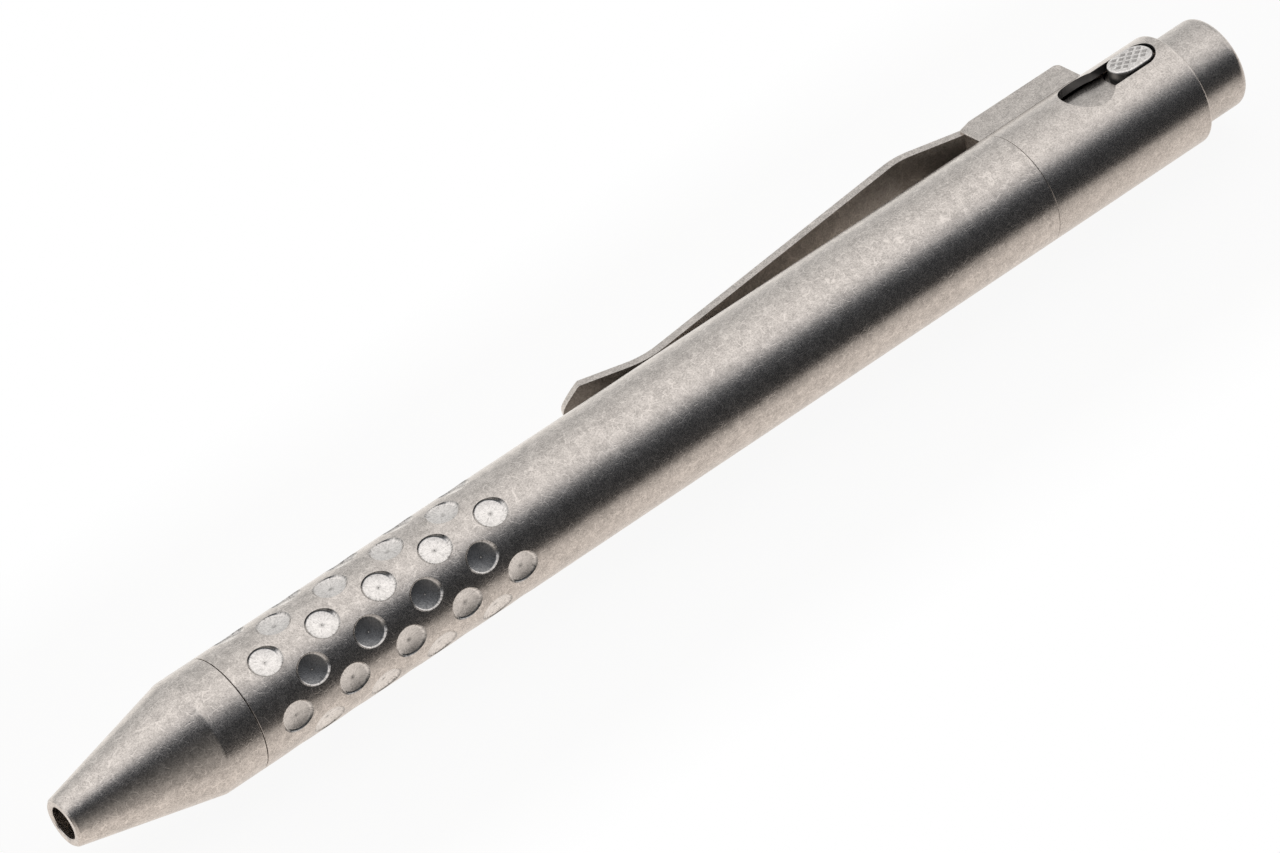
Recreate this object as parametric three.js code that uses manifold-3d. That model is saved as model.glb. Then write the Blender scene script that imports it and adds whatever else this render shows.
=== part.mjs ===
// A button-lock click pen of turned and tumbled metal, with a milled pocket clip and a long gel refill.
// It lies as it rests on a table, on its barrel and on one edge of its clip.
// X runs along the pen from the writing end to the thumb end, and Z is up. All sizes are in millimetres.
import * as THREE from "three";
import { mergeVertices } from "three/addons/utils/BufferGeometryUtils.js";
import Module from "manifold-3d";

const wasm = await Module();
wasm.setup();

// Outer form
const bodyDiameter = 12.7;
const noseLength = 20.1;
const coneLength = 15.6;
const coneTipDiameter = 5.32; // the cone carried on to the end face
const barrelLength = 102.9;
const capLength = 21.2;
const plungerDiameter = 10.3;
const plungerStandOut = 6.2;
const edgeBreak = 0.1; // the tiny bevel on both sides of each seam

// Click and lock
const clickTravel = 5.9;
const pocketDiameter = 6;
const slotWidth = 3.92;
const slotEndGap = 1.3; // from the slot's round end to the rear tube's end
const buttonClearance = 0.16;
const buttonHeadLength = 5.8;
const buttonFlangeDiameter = 5.7;
const buttonFlangeThickness = 1.3;
const buttonFlangeSink = 0.2; // from the rear tube's bore down to the flange's rim
const buttonBevel = 0.25;
const buttonPress = 0.8;
const buttonWellFloor = 0.9; // height of the plunger's button well above the axis
const buttonSpringRoom = 0.9; // depth of the recess under the button
const buttonSpringRoomDiameter = 3;

// Knurl on the button: crossed grooves inside a plain border
const knurlPitch = 0.68;
const knurlDepth = 0.16;
const knurlBorder = 0.32;
const knurlAngle = THREE.MathUtils.degToRad(45);

// Dimples
const dimpleRows = 12;
const dimplesInLongRow = 5;
const dimplePitch = 7.03;
const dimpleFirst = 4.15; // from the front of the barrel to the first dimple's middle
const dimpleDiameter = 3.48;
const dimpleDepth = 0.62;
const dimpleFloorRadius = 3.3;

// Tip
const tipBoreDiameter = 3.6;
const tipFaceBevel = 0.25;
const tipMouthBevel = 0.12;

// Threaded joints, as plain fits
const fitClearance = 0.3;
const noseSpigotDiameter = 8.6;
const noseSpigotLength = 7.9;
const capSpigotDiameter = 9.2;
const capSpigotLength = 10;
const spigotBevel = 0.3;
const ringGrooveInset = 0.7;
const ringGrooveWidth = 1.1;
const ringGrooveDepth = 0.55;
const ringThickness = 0.76;

// Bores
const barrelBoreDiameter = 6.9;
const noseBoreDiameter = 6.7;
const springSeatAt = 8; // the step in the nose that the return spring stands on
const capBoreDiameter = 10.9;
const capWeb = 1; // the wall between the wide bore and the spigot's bore
const rodBoreDiameter = 7.5;
const capEndBevel = 0.35;
const capMouthBevel = 0.15;

// Plunger and its rod
const plungerBehindFront = 3.65; // how far the plunger's body reaches in front of the round pocket's middle
const plungerEndRound = 0.9;
const plungerFrontBevel = 0.3;
const rodDiameter = 6.8;
const rodLength = 16.6; // from the refill's end to the plunger
const rodBevel = 0.3;
const rodStudDiameter = 3.2;
const rodStudLength = 5.4;
const rodPushGap = 0.1;

// Refill
const refillTipSink = 2.6; // how far the ball stands inside the tip when the pen is closed
const refillDiameter = 6.1;
const refillBoreDiameter = 5.1;
const refillPointDiameter = 2.3;
const refillPointLength = 5.6;
const refillPointCone = 2.6;
const refillBallDiameter = 0.7;
const refillBallShown = 0.25;
const refillSlimDiameter = 3.1;
const refillSlimLength = 6.2;
const refillNeckDiameter = 4.4;
const refillNeckLength = 13.6;
const refillCollarLength = 1;
const refillPlugInDepth = 4;
const refillPlugClearance = 0.15;
const refillVentDiameter = 0.9;
const refillEndCollarLength = 1.6;
const inkFollowerLength = 4;
const refillAirLength = 8.6; // the empty length behind the follower
const inkClearance = 0.15;

// Springs
const returnWire = 0.5;
const returnCoilDiameter = 5.3;
const returnCurls = 10;
const buttonWire = 0.3;
const buttonCoilDiameter = 2.2;
const buttonCurls = 3.5;
const springEndGap = 0.05;
const coilSteps = 8;
const coilSides = 5;

// Pocket clip
const clipBlockWidth = 10.1;
const clipBlockHeight = 7.85; // from the pen's axis to the block's top
const clipBlockLength = 13.95;
const clipOverhang = 0.6; // how far the block reaches over the barrel's end
const clipBlockFrontDrop = 0.5;
const clipBlockFrontRamp = 1.7;
const clipBlockRearRound = 0.7;
const clipBlockEdgeRound = 0.15;
const clipBlockSideInset = 0.08; // the side walls lean in above the flared foot
const clipFootHeight = 4.95;
const clipSaddleGap = 0.05;
const clipThickness = 1;
const clipRestGap = 0.03; // between the arm's lowest point and the barrel
const clipRootWidth = 9.2;
const clipContactWidth = 6.3;
const clipHumpFromBlock = 6.6;
const clipReach = 51.9; // from the block's front to the end of the arm
const clipFlareLength = 8.8; // from the contact point to the end of the arm
const clipRiseAngle = THREE.MathUtils.degToRad(5);
const clipFlareAngle = THREE.MathUtils.degToRad(23.5);
const clipRootAngle = THREE.MathUtils.degToRad(21.5);
const clipHumpRadius = 6;
const clipContactRadius = 8;
const clipEndCorner = 2.1; // how far back the cut across each corner of the arm's end starts
const clipEndWidth = 1.2; // what the two cuts leave of the end
const clipRootSink = 1.2;

// Clip screws
const screwHeadDiameter = 3;
const screwHeadHeight = 0.45;
const screwShankDiameter = 1.4;
const screwShankLength = 1.3;
const screwClearance = 0.05;
const screwSpacing = 6.2;
const screwFrontAt = 3.9; // from the block's front to the first screw
const screwDriveDiameter = 1.3;
const screwDriveDepth = 0.25;

// Facets
const roundSteps = 48;
const innerSteps = 24;
const smallSteps = 16;
const dimpleSteps = 14;
const arcSteps = 4;
const ringSides = 8;
const hexSides = 6;
const cutOverrun = 1;
const weldDistance = 1e-4;

// Finishes
const tumbledMetal = new THREE.MeshStandardMaterial({ color: 0xbdb7b0, roughness: 0.45, metalness: 0.9 });
const buttonMetal = new THREE.MeshStandardMaterial({ color: 0xc9c4be, roughness: 0.5, metalness: 0.9 });
const screwSteel = new THREE.MeshStandardMaterial({ color: 0x4a4a4c, roughness: 0.4, metalness: 0.9 });
const springSteel = new THREE.MeshStandardMaterial({ color: 0xb8bcc2, roughness: 0.3, metalness: 1 });
const sealRubber = new THREE.MeshStandardMaterial({ color: 0x1a1a1a, roughness: 0.8, metalness: 0 });
const refillPlastic = new THREE.MeshStandardMaterial({ color: 0xd9dde0, roughness: 0.35, metalness: 0 });
const refillBlack = new THREE.MeshStandardMaterial({ color: 0x18181a, roughness: 0.5, metalness: 0 });
const pointBrass = new THREE.MeshStandardMaterial({ color: 0xb58f4a, roughness: 0.3, metalness: 1 });
const inkBlack = new THREE.MeshStandardMaterial({ color: 0x0c0c12, roughness: 0.2, metalness: 0 });
const followerGrease = new THREE.MeshStandardMaterial({ color: 0xd8cfa8, roughness: 0.3, metalness: 0 });

// Places along the pen that several pieces share
const bodyRadius = bodyDiameter / 2;
const barrelStart = noseLength;
const barrelEnd = noseLength + barrelLength;
const capEnd = barrelEnd + capLength;
const plungerEnd = capEnd + plungerStandOut;
const slotHalf = slotWidth / 2;
const slotArcMiddle = capEnd - slotEndGap - slotHalf;
const buttonAt = capEnd - slotEndGap - buttonClearance - buttonHeadLength / 2;
const pocketAt = buttonAt - clickTravel;
const capBoreRadius = capBoreDiameter / 2;
const plungerFront = pocketAt - plungerBehindFront;
const refillStart = refillTipSink;
const rodFront = plungerFront - rodLength;
const refillEnd = rodFront - rodPushGap;
const clipFront = barrelEnd - clipOverhang;
const clipRear = clipFront + clipBlockLength;
const clipContactFromBlock = clipReach - clipFlareLength;

const pen = new THREE.Group();

// A solid of a closed geometry, for joining and cutting
function solid(geometry) {
  const bare = geometry.clone();
  bare.deleteAttribute("normal");
  bare.deleteAttribute("uv");
  const merged = mergeVertices(bare, weldDistance);
  const corners = merged.index.array;
  const kept = [];
  for (let i = 0; i < corners.length; i += 3) {
    const [a, b, c] = [corners[i], corners[i + 1], corners[i + 2]];
    if (a !== b && b !== c && c !== a) kept.push(a, b, c);
  }
  return new wasm.Manifold(
    new wasm.Mesh({
      numProp: 3,
      vertProperties: merged.attributes.position.array,
      triVerts: new Uint32Array(kept),
    }),
  );
}

function geometryOf(shape) {
  const mesh = shape.getMesh();
  const geometry = new THREE.BufferGeometry();
  geometry.setAttribute("position", new THREE.BufferAttribute(mesh.vertProperties, mesh.numProp));
  geometry.setIndex(new THREE.BufferAttribute(mesh.triVerts, 1));
  geometry.computeVertexNormals();
  return geometry;
}

function addPiece(name, shape, material) {
  const mesh = new THREE.Mesh(geometryOf(shape), material);
  mesh.name = name;
  pen.add(mesh);
}

// A piece turned on the pen's axis. The outline's points are [place along X, radius], and run with the
// metal on their left: forward along the bore, out across a front face, back along the outside.
function turned(outline, steps) {
  const points = outline.map(([along, radius]) => new THREE.Vector2(radius, along));
  const onAxis = points[0].x === 0;
  if (!onAxis) points.push(points[0].clone());
  const geometry = new THREE.LatheGeometry(points, steps);
  geometry.rotateZ(-Math.PI / 2);
  return solid(geometry);
}

// A body of revolution that stands on the pen's axis along +Z. The outline's points are [radius, height].
function raised(outline, steps) {
  const points = outline.map(([radius, height]) => new THREE.Vector2(radius, height));
  const geometry = new THREE.LatheGeometry(points, steps);
  geometry.rotateX(Math.PI / 2);
  return solid(geometry);
}

function raisedRod(radius, bottom, top, steps) {
  return raised(
    [
      [0, bottom],
      [radius, bottom],
      [radius, top],
      [0, top],
    ],
    steps,
  );
}

// A flat outline in X and Y, thickened along +Z from bottom to top
function plate(shape, bottom, top, curveSegments) {
  const geometry = new THREE.ExtrudeGeometry(shape, { depth: top - bottom, bevelEnabled: false, curveSegments });
  geometry.translate(0, 0, bottom);
  return solid(geometry);
}

// A side outline in X and Z, thickened evenly to both sides of the pen
function sidePlate(shape, width, curveSegments) {
  const geometry = new THREE.ExtrudeGeometry(shape, { depth: width, bevelEnabled: false, curveSegments });
  geometry.translate(0, 0, -width / 2);
  geometry.rotateX(Math.PI / 2);
  return solid(geometry);
}

const degrees = THREE.MathUtils.radToDeg;

// Turns what stands along +Z to the side that the button is on
function toButtonSide(shape) {
  return shape.rotate([degrees(Math.PI / 2), 0, 0]);
}

// O-ring grooves and their rings
const grooveRadius = (spigotDiameter) => spigotDiameter / 2 - ringGrooveDepth;

function ring(middle, spigotDiameter) {
  const rootRadius = grooveRadius(spigotDiameter);
  const wallRadius = spigotDiameter / 2 + fitClearance;
  const ringRadius = (rootRadius + wallRadius) / 2;
  const outline = [];
  for (let i = 0; i < ringSides; i++) {
    const turn = (-2 * Math.PI * i) / ringSides;
    const along = middle + (ringThickness / 2) * Math.cos(turn);
    outline.push([along, ringRadius + (ringThickness / 2) * Math.sin(turn) * -1]);
  }
  return turned(outline.reverse(), roundSteps / 2);
}

// Nose cone: a straight cone with a bevelled end face, its spigot and the seat of the return spring
function noseCone() {
  const coneTipRadius = coneTipDiameter / 2;
  const slope = (bodyRadius - coneTipRadius) / coneLength;
  const tipBoreRadius = tipBoreDiameter / 2;
  const spigotRadius = noseSpigotDiameter / 2;
  const spigotEnd = noseLength + noseSpigotLength;
  const grooveStart = noseLength + ringGrooveInset;
  const grooveEnd = grooveStart + ringGrooveWidth;
  return turned(
    [
      [0, tipBoreRadius + tipMouthBevel],
      [0, coneTipRadius + slope * tipFaceBevel - tipFaceBevel],
      [tipFaceBevel, coneTipRadius + slope * tipFaceBevel],
      [coneLength, bodyRadius],
      [noseLength - edgeBreak, bodyRadius],
      [noseLength, bodyRadius - edgeBreak],
      [noseLength, spigotRadius],
      [grooveStart, spigotRadius],
      [grooveStart, grooveRadius(noseSpigotDiameter)],
      [grooveEnd, grooveRadius(noseSpigotDiameter)],
      [grooveEnd, spigotRadius],
      [spigotEnd - spigotBevel, spigotRadius],
      [spigotEnd, spigotRadius - spigotBevel],
      [spigotEnd, noseBoreDiameter / 2],
      [springSeatAt, noseBoreDiameter / 2],
      [springSeatAt, tipBoreRadius],
      [tipMouthBevel, tipBoreRadius],
    ],
    roundSteps,
  );
}

// The dimples' cutter: a dished floor inside a round wall, standing out of the barrel
function dimpleCutter() {
  const radius = dimpleDiameter / 2;
  const floor = bodyRadius - dimpleDepth;
  const outline = [];
  for (let i = 0; i <= arcSteps / 2; i++) {
    const r = (radius * i) / (arcSteps / 2);
    outline.push([r, floor + dimpleFloorRadius - Math.sqrt(dimpleFloorRadius ** 2 - r ** 2)]);
  }
  outline.push([radius, bodyRadius + cutOverrun], [0, bodyRadius + cutOverrun]);
  return raised(outline, dimpleSteps);
}

// Barrel: a tube with a socket at each end and rows of dimples, every second row half a pitch on
function barrel() {
  const frontSocketRadius = noseSpigotDiameter / 2 + fitClearance;
  const rearSocketRadius = capSpigotDiameter / 2 + fitClearance;
  const frontSocketEnd = barrelStart + noseSpigotLength + fitClearance;
  const rearSocketStart = barrelEnd - capSpigotLength - fitClearance;
  let tube = turned(
    [
      [barrelStart, frontSocketRadius],
      [barrelStart, bodyRadius - edgeBreak],
      [barrelStart + edgeBreak, bodyRadius],
      [barrelEnd - edgeBreak, bodyRadius],
      [barrelEnd, bodyRadius - edgeBreak],
      [barrelEnd, rearSocketRadius],
      [rearSocketStart, rearSocketRadius],
      [rearSocketStart, barrelBoreDiameter / 2],
      [frontSocketEnd, barrelBoreDiameter / 2],
      [frontSocketEnd, frontSocketRadius],
    ],
    roundSteps,
  );
  const cutter = dimpleCutter();
  for (let row = 0; row < dimpleRows; row++) {
    const isLong = row % 2 === 0;
    const count = isLong ? dimplesInLongRow : dimplesInLongRow - 1;
    const first = barrelStart + dimpleFirst + (isLong ? 0 : dimplePitch / 2);
    for (let i = 0; i < count; i++) {
      const turn = degrees((2 * Math.PI * row) / dimpleRows);
      tube = tube.subtract(cutter.rotate([turn, 0, 0]).translate([first + i * dimplePitch, 0, 0]));
    }
  }
  return tube;
}

// The keyhole: a round pocket that runs back into the button's slot
function keyholeOutline() {
  const pocketRadius = pocketDiameter / 2;
  const neck = Math.asin(slotHalf / pocketRadius);
  const outline = new THREE.Shape();
  outline.absarc(pocketAt, 0, pocketRadius, neck, 2 * Math.PI - neck, false);
  outline.absarc(slotArcMiddle, 0, slotHalf, -Math.PI / 2, Math.PI / 2, false);
  return outline;
}

const screwPlaces = [clipFront + screwFrontAt, clipFront + screwFrontAt + screwSpacing];

// Rear tube: the spigot, the wide bore of the plunger, the keyhole and the clip screws' holes
function capHousing() {
  const spigotRadius = capSpigotDiameter / 2;
  const spigotStart = barrelEnd - capSpigotLength;
  const grooveEnd = barrelEnd - ringGrooveInset;
  const grooveStart = grooveEnd - ringGrooveWidth;
  let tube = turned(
    [
      [spigotStart, rodBoreDiameter / 2],
      [spigotStart, spigotRadius - spigotBevel],
      [spigotStart + spigotBevel, spigotRadius],
      [grooveStart, spigotRadius],
      [grooveStart, grooveRadius(capSpigotDiameter)],
      [grooveEnd, grooveRadius(capSpigotDiameter)],
      [grooveEnd, spigotRadius],
      [barrelEnd, spigotRadius],
      [barrelEnd, bodyRadius - edgeBreak],
      [barrelEnd + edgeBreak, bodyRadius],
      [capEnd - capEndBevel, bodyRadius],
      [capEnd, bodyRadius - capEndBevel],
      [capEnd, capBoreRadius + capMouthBevel],
      [capEnd - capMouthBevel, capBoreRadius],
      [barrelEnd + capWeb, capBoreRadius],
      [barrelEnd + capWeb, rodBoreDiameter / 2],
    ],
    roundSteps,
  );
  const keyhole = plate(keyholeOutline(), slotHalf, bodyRadius + cutOverrun, smallSteps);
  tube = tube.subtract(toButtonSide(keyhole));
  for (const at of screwPlaces) {
    const head = raisedRod(
      screwHeadDiameter / 2 + screwClearance * 2,
      capBoreRadius - cutOverrun,
      capBoreRadius + screwHeadHeight + screwClearance,
      smallSteps,
    );
    const shank = raisedRod(
      screwShankDiameter / 2 + screwClearance * 2,
      capBoreRadius,
      bodyRadius + cutOverrun,
      smallSteps,
    );
    tube = tube.subtract(head.add(shank).translate([at, 0, 0]));
  }
  return tube;
}

// A path through corner points, each inner corner rounded to its radius, as points
function roundedLine(corners, radii) {
  const line = [corners[0].clone()];
  for (let i = 1; i < corners.length - 1; i++) {
    const corner = corners[i];
    const back = corners[i - 1].clone().sub(corner).normalize();
    const on = corners[i + 1].clone().sub(corner).normalize();
    const half = Math.acos(THREE.MathUtils.clamp(back.dot(on), -1, 1)) / 2;
    const reach = radii[i - 1] / Math.tan(half);
    const start = corner.clone().addScaledVector(back, reach);
    const end = corner.clone().addScaledVector(on, reach);
    const middle = back.clone().add(on).normalize();
    middle.multiplyScalar(radii[i - 1] / Math.sin(half)).add(corner);
    const from = Math.atan2(start.y - middle.y, start.x - middle.x);
    const to = Math.atan2(end.y - middle.y, end.x - middle.x);
    for (let step = 0; step <= arcSteps; step++) {
      const turn = from + ((to - from) * step) / arcSteps;
      line.push(new THREE.Vector2(Math.cos(turn), Math.sin(turn)).multiplyScalar(radii[i - 1]).add(middle));
    }
  }
  line.push(corners[corners.length - 1].clone());
  return line;
}

// The clip arm's middle line, seen from the side: out of the block, over a hump, down to the barrel and up
function clipArmLine() {
  const halfThickness = clipThickness / 2;
  const lowest = bodyRadius + clipRestGap + halfThickness;
  const turnHalf = (clipRiseAngle + clipFlareAngle) / 2;
  const lean = (clipRiseAngle - clipFlareAngle) / 2;
  const contactX = clipFront - clipContactFromBlock;
  const contactZ = lowest + clipContactRadius - (clipContactRadius * Math.cos(lean)) / Math.cos(turnHalf);
  const humpX = clipFront - clipHumpFromBlock;
  const humpZ = contactZ + Math.tan(clipRiseAngle) * (humpX - contactX);
  const rootX = clipFront + clipRootSink;
  const endX = clipFront - clipReach - cutOverrun;
  const corners = [
    new THREE.Vector2(rootX, humpZ - Math.tan(clipRootAngle) * (rootX - humpX)),
    new THREE.Vector2(humpX, humpZ),
    new THREE.Vector2(contactX, contactZ),
    new THREE.Vector2(endX, contactZ + Math.tan(clipFlareAngle) * (contactX - endX)),
  ];
  return roundedLine(corners, [clipHumpRadius, clipContactRadius]);
}

function clipArmSide() {
  const line = clipArmLine();
  const upper = [];
  const lower = [];
  line.forEach((point, i) => {
    const before = line[Math.max(i - 1, 0)];
    const after = line[Math.min(i + 1, line.length - 1)];
    const along = after.clone().sub(before).normalize();
    const across = new THREE.Vector2(along.y, -along.x).multiplyScalar(clipThickness / 2);
    upper.push(point.clone().add(across));
    lower.push(point.clone().sub(across));
  });
  return new THREE.Shape([...upper, ...lower.reverse()]);
}

// The arm from above: it tapers from the block to the contact point and on, and its end's corners are cut
function clipArmPlan() {
  const taper = (clipRootWidth - clipContactWidth) / 2 / clipContactFromBlock;
  const halfWidth = (fromBlock) => clipRootWidth / 2 - taper * fromBlock;
  const endX = clipFront - clipReach;
  const cornerHalf = halfWidth(clipReach - clipEndCorner);
  const endHalf = clipEndWidth / 2;
  return new THREE.Shape([
    new THREE.Vector2(clipFront + clipRootSink, -halfWidth(-clipRootSink)),
    new THREE.Vector2(clipFront + clipRootSink, halfWidth(-clipRootSink)),
    new THREE.Vector2(endX + clipEndCorner, cornerHalf),
    new THREE.Vector2(endX, endHalf),
    new THREE.Vector2(endX, -endHalf),
    new THREE.Vector2(endX + clipEndCorner, -cornerHalf),
  ]);
}

// The block seen along the pen: side walls with a flared foot, and rounded top edges
function clipBlockSection() {
  const half = clipBlockWidth / 2;
  const upperHalf = half - clipBlockSideInset;
  const round = clipBlockEdgeRound;
  const outline = new THREE.Shape();
  outline.moveTo(0, -half);
  outline.lineTo(bodyRadius / 2, -half);
  outline.quadraticCurveTo(clipFootHeight - clipBlockSideInset, -upperHalf, clipFootHeight, -upperHalf);
  outline.absarc(clipBlockHeight - round, round - upperHalf, round, -Math.PI / 2, 0, false);
  outline.absarc(clipBlockHeight - round, upperHalf - round, round, 0, Math.PI / 2, false);
  outline.lineTo(clipFootHeight, upperHalf);
  outline.quadraticCurveTo(clipFootHeight - clipBlockSideInset, upperHalf, bodyRadius / 2, half);
  outline.lineTo(0, half);
  return outline;
}

// The block seen from the side: a ramp at the top front edge and a round at the top rear edge
function clipBlockSide() {
  const outline = new THREE.Shape();
  outline.moveTo(clipFront, 0);
  outline.lineTo(clipRear, 0);
  outline.lineTo(clipRear, clipBlockHeight - clipBlockRearRound);
  const middleX = clipRear - clipBlockRearRound;
  outline.absarc(middleX, clipBlockHeight - clipBlockRearRound, clipBlockRearRound, 0, Math.PI / 2, false);
  outline.lineTo(clipFront + clipBlockFrontRamp, clipBlockHeight);
  outline.lineTo(clipFront, clipBlockHeight - clipBlockFrontDrop);
  return outline;
}

// Pocket clip: a saddle block and a spring arm in one piece, with blind holes for its two screws
function pocketClip() {
  const section = new THREE.ExtrudeGeometry(clipBlockSection(), {
    depth: clipBlockLength + 2 * cutOverrun,
    bevelEnabled: false,
    curveSegments: arcSteps,
  });
  section.rotateY(-Math.PI / 2);
  section.rotateX(-Math.PI / 2);
  section.rotateX(Math.PI / 2);
  section.translate(clipRear + cutOverrun, 0, 0);
  let clip = solid(section).intersect(sidePlate(clipBlockSide(), 2 * clipBlockWidth, arcSteps));
  const saddleRadius = bodyRadius + clipSaddleGap;
  const saddle = turned(
    [
      [clipFront - cutOverrun, 0],
      [clipFront - cutOverrun, saddleRadius],
      [clipRear + cutOverrun, saddleRadius],
      [clipRear + cutOverrun, 0],
    ],
    roundSteps,
  );
  const plan = plate(clipArmPlan(), bodyRadius / 2, clipBlockHeight * 2, arcSteps);
  const side = sidePlate(clipArmSide(), 2 * clipBlockWidth, arcSteps);
  clip = clip.add(side.intersect(plan)).subtract(saddle);
  for (const at of screwPlaces) {
    const top = capBoreRadius + screwHeadHeight + screwShankLength + screwClearance;
    const hole = raisedRod(screwShankDiameter / 2 + screwClearance, capBoreRadius, top, smallSteps);
    clip = clip.subtract(hole.translate([at, 0, 0]));
  }
  return clip;
}

// A clip screw, head in the rear tube's bore, with a hexagon socket that opens towards the axis
function clipScrew(at) {
  const shankTop = capBoreRadius + screwHeadHeight + screwShankLength;
  const headTop = capBoreRadius + screwHeadHeight;
  const body = raised(
    [
      [0, capBoreRadius],
      [screwHeadDiameter / 2, capBoreRadius],
      [screwHeadDiameter / 2, headTop],
      [screwShankDiameter / 2, headTop],
      [screwShankDiameter / 2, shankTop],
      [0, shankTop],
    ],
    smallSteps,
  );
  const socketBottom = capBoreRadius - cutOverrun;
  const socket = raisedRod(screwDriveDiameter / 2, socketBottom, capBoreRadius + screwDriveDepth, hexSides);
  return body.subtract(socket).translate([at, 0, 0]);
}

// Plunger: the thumb end, the button's well and the socket of its rod
function plunger() {
  const radius = plungerDiameter / 2;
  const socketRadius = rodStudDiameter / 2 + fitClearance;
  const socketEnd = plungerFront + rodStudLength + fitClearance;
  const outline = [
    [socketEnd, 0],
    [socketEnd, socketRadius],
    [plungerFront, socketRadius],
    [plungerFront, radius - plungerFrontBevel],
    [plungerFront + plungerFrontBevel, radius],
  ];
  for (let i = 0; i <= arcSteps; i++) {
    const turn = (Math.PI / 2) * (i / arcSteps);
    const along = plungerEnd - plungerEndRound + plungerEndRound * Math.sin(turn);
    outline.push([along, radius - plungerEndRound + plungerEndRound * Math.cos(turn)]);
  }
  outline.push([plungerEnd, 0]);
  const well = raisedRod(pocketDiameter / 2, buttonWellFloor, bodyRadius + cutOverrun, innerSteps);
  return turned(outline, roundSteps).subtract(toButtonSide(well).translate([buttonAt, 0, 0]));
}

// Push rod: a plain rod with a stud that screws into the plunger
function pushRod() {
  const radius = rodDiameter / 2;
  return turned(
    [
      [rodFront, 0],
      [rodFront, radius - rodBevel],
      [rodFront + rodBevel, radius],
      [plungerFront, radius],
      [plungerFront, rodStudDiameter / 2],
      [plungerFront + rodStudLength, rodStudDiameter / 2],
      [plungerFront + rodStudLength, 0],
    ],
    innerSteps,
  );
}

// An oblong with round ends, lying along X about the origin
function oblong(length, width) {
  const outline = new THREE.Shape();
  const reach = (length - width) / 2;
  outline.absarc(reach, 0, width / 2, -Math.PI / 2, Math.PI / 2, false);
  outline.absarc(-reach, 0, width / 2, Math.PI / 2, (3 * Math.PI) / 2, false);
  return outline;
}

const flangeRadius = buttonFlangeDiameter / 2;
const flangeTop = Math.sqrt((capBoreRadius - buttonFlangeSink) ** 2 - flangeRadius ** 2);
const flangeBottom = flangeTop - buttonFlangeThickness;

// Lock button: a round flange in the plunger's well, under an oblong head with a crossed knurl
function lockButton() {
  const headWidth = slotWidth - 2 * buttonClearance;
  const straightTop = bodyRadius - buttonBevel;
  const head = plate(oblong(buttonHeadLength, headWidth), flangeTop - buttonBevel, straightTop, smallSteps);
  const cap = new THREE.ExtrudeGeometry(
    oblong(buttonHeadLength - 2 * buttonBevel, headWidth - 2 * buttonBevel),
    {
      depth: buttonBevel,
      bevelEnabled: true,
      bevelThickness: buttonBevel,
      bevelSize: buttonBevel,
      bevelSegments: 1,
      curveSegments: smallSteps,
    },
  );
  cap.translate(0, 0, bodyRadius - 2 * buttonBevel);
  const above = plate(oblong(2 * buttonHeadLength, 2 * buttonHeadLength), bodyRadius, bodyRadius + cutOverrun, 1);
  const top = solid(cap).subtract(above);
  let button = raisedRod(flangeRadius, flangeBottom, flangeTop, innerSteps).add(head).add(top);
  const groove = new THREE.BoxGeometry(2 * buttonHeadLength, knurlDepth * Math.SQRT2, knurlDepth * Math.SQRT2);
  groove.rotateX(Math.PI / 4);
  const lines = Math.ceil(buttonHeadLength / knurlPitch);
  let grooves = null;
  for (const side of [-1, 1]) {
    for (let i = -lines; i <= lines; i++) {
      const one = solid(groove)
        .translate([0, i * knurlPitch, bodyRadius])
        .rotate([0, 0, degrees(side * knurlAngle)]);
      grooves = grooves ? grooves.add(one) : one;
    }
  }
  const inset = 2 * (buttonBevel + knurlBorder);
  const field = plate(
    oblong(buttonHeadLength - inset, headWidth - inset),
    bodyRadius - cutOverrun,
    bodyRadius + cutOverrun,
    arcSteps * 2,
  );
  button = button.subtract(grooves.intersect(field));
  const recess = raisedRod(
    buttonSpringRoomDiameter / 2,
    flangeBottom - cutOverrun,
    flangeBottom + buttonSpringRoom,
    smallSteps,
  );
  return toButtonSide(button.subtract(recess)).translate([buttonAt, 0, 0]);
}

// The least distance between two curls of a coil, measured from point to point, less the wire
function leastGap(centres, wire) {
  let least = Infinity;
  for (let i = 0; i < centres.length; i++) {
    for (let j = i + coilSteps / 2; j < centres.length; j++) {
      least = Math.min(least, centres[i].distanceTo(centres[j]));
    }
  }
  return least - wire;
}

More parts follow.
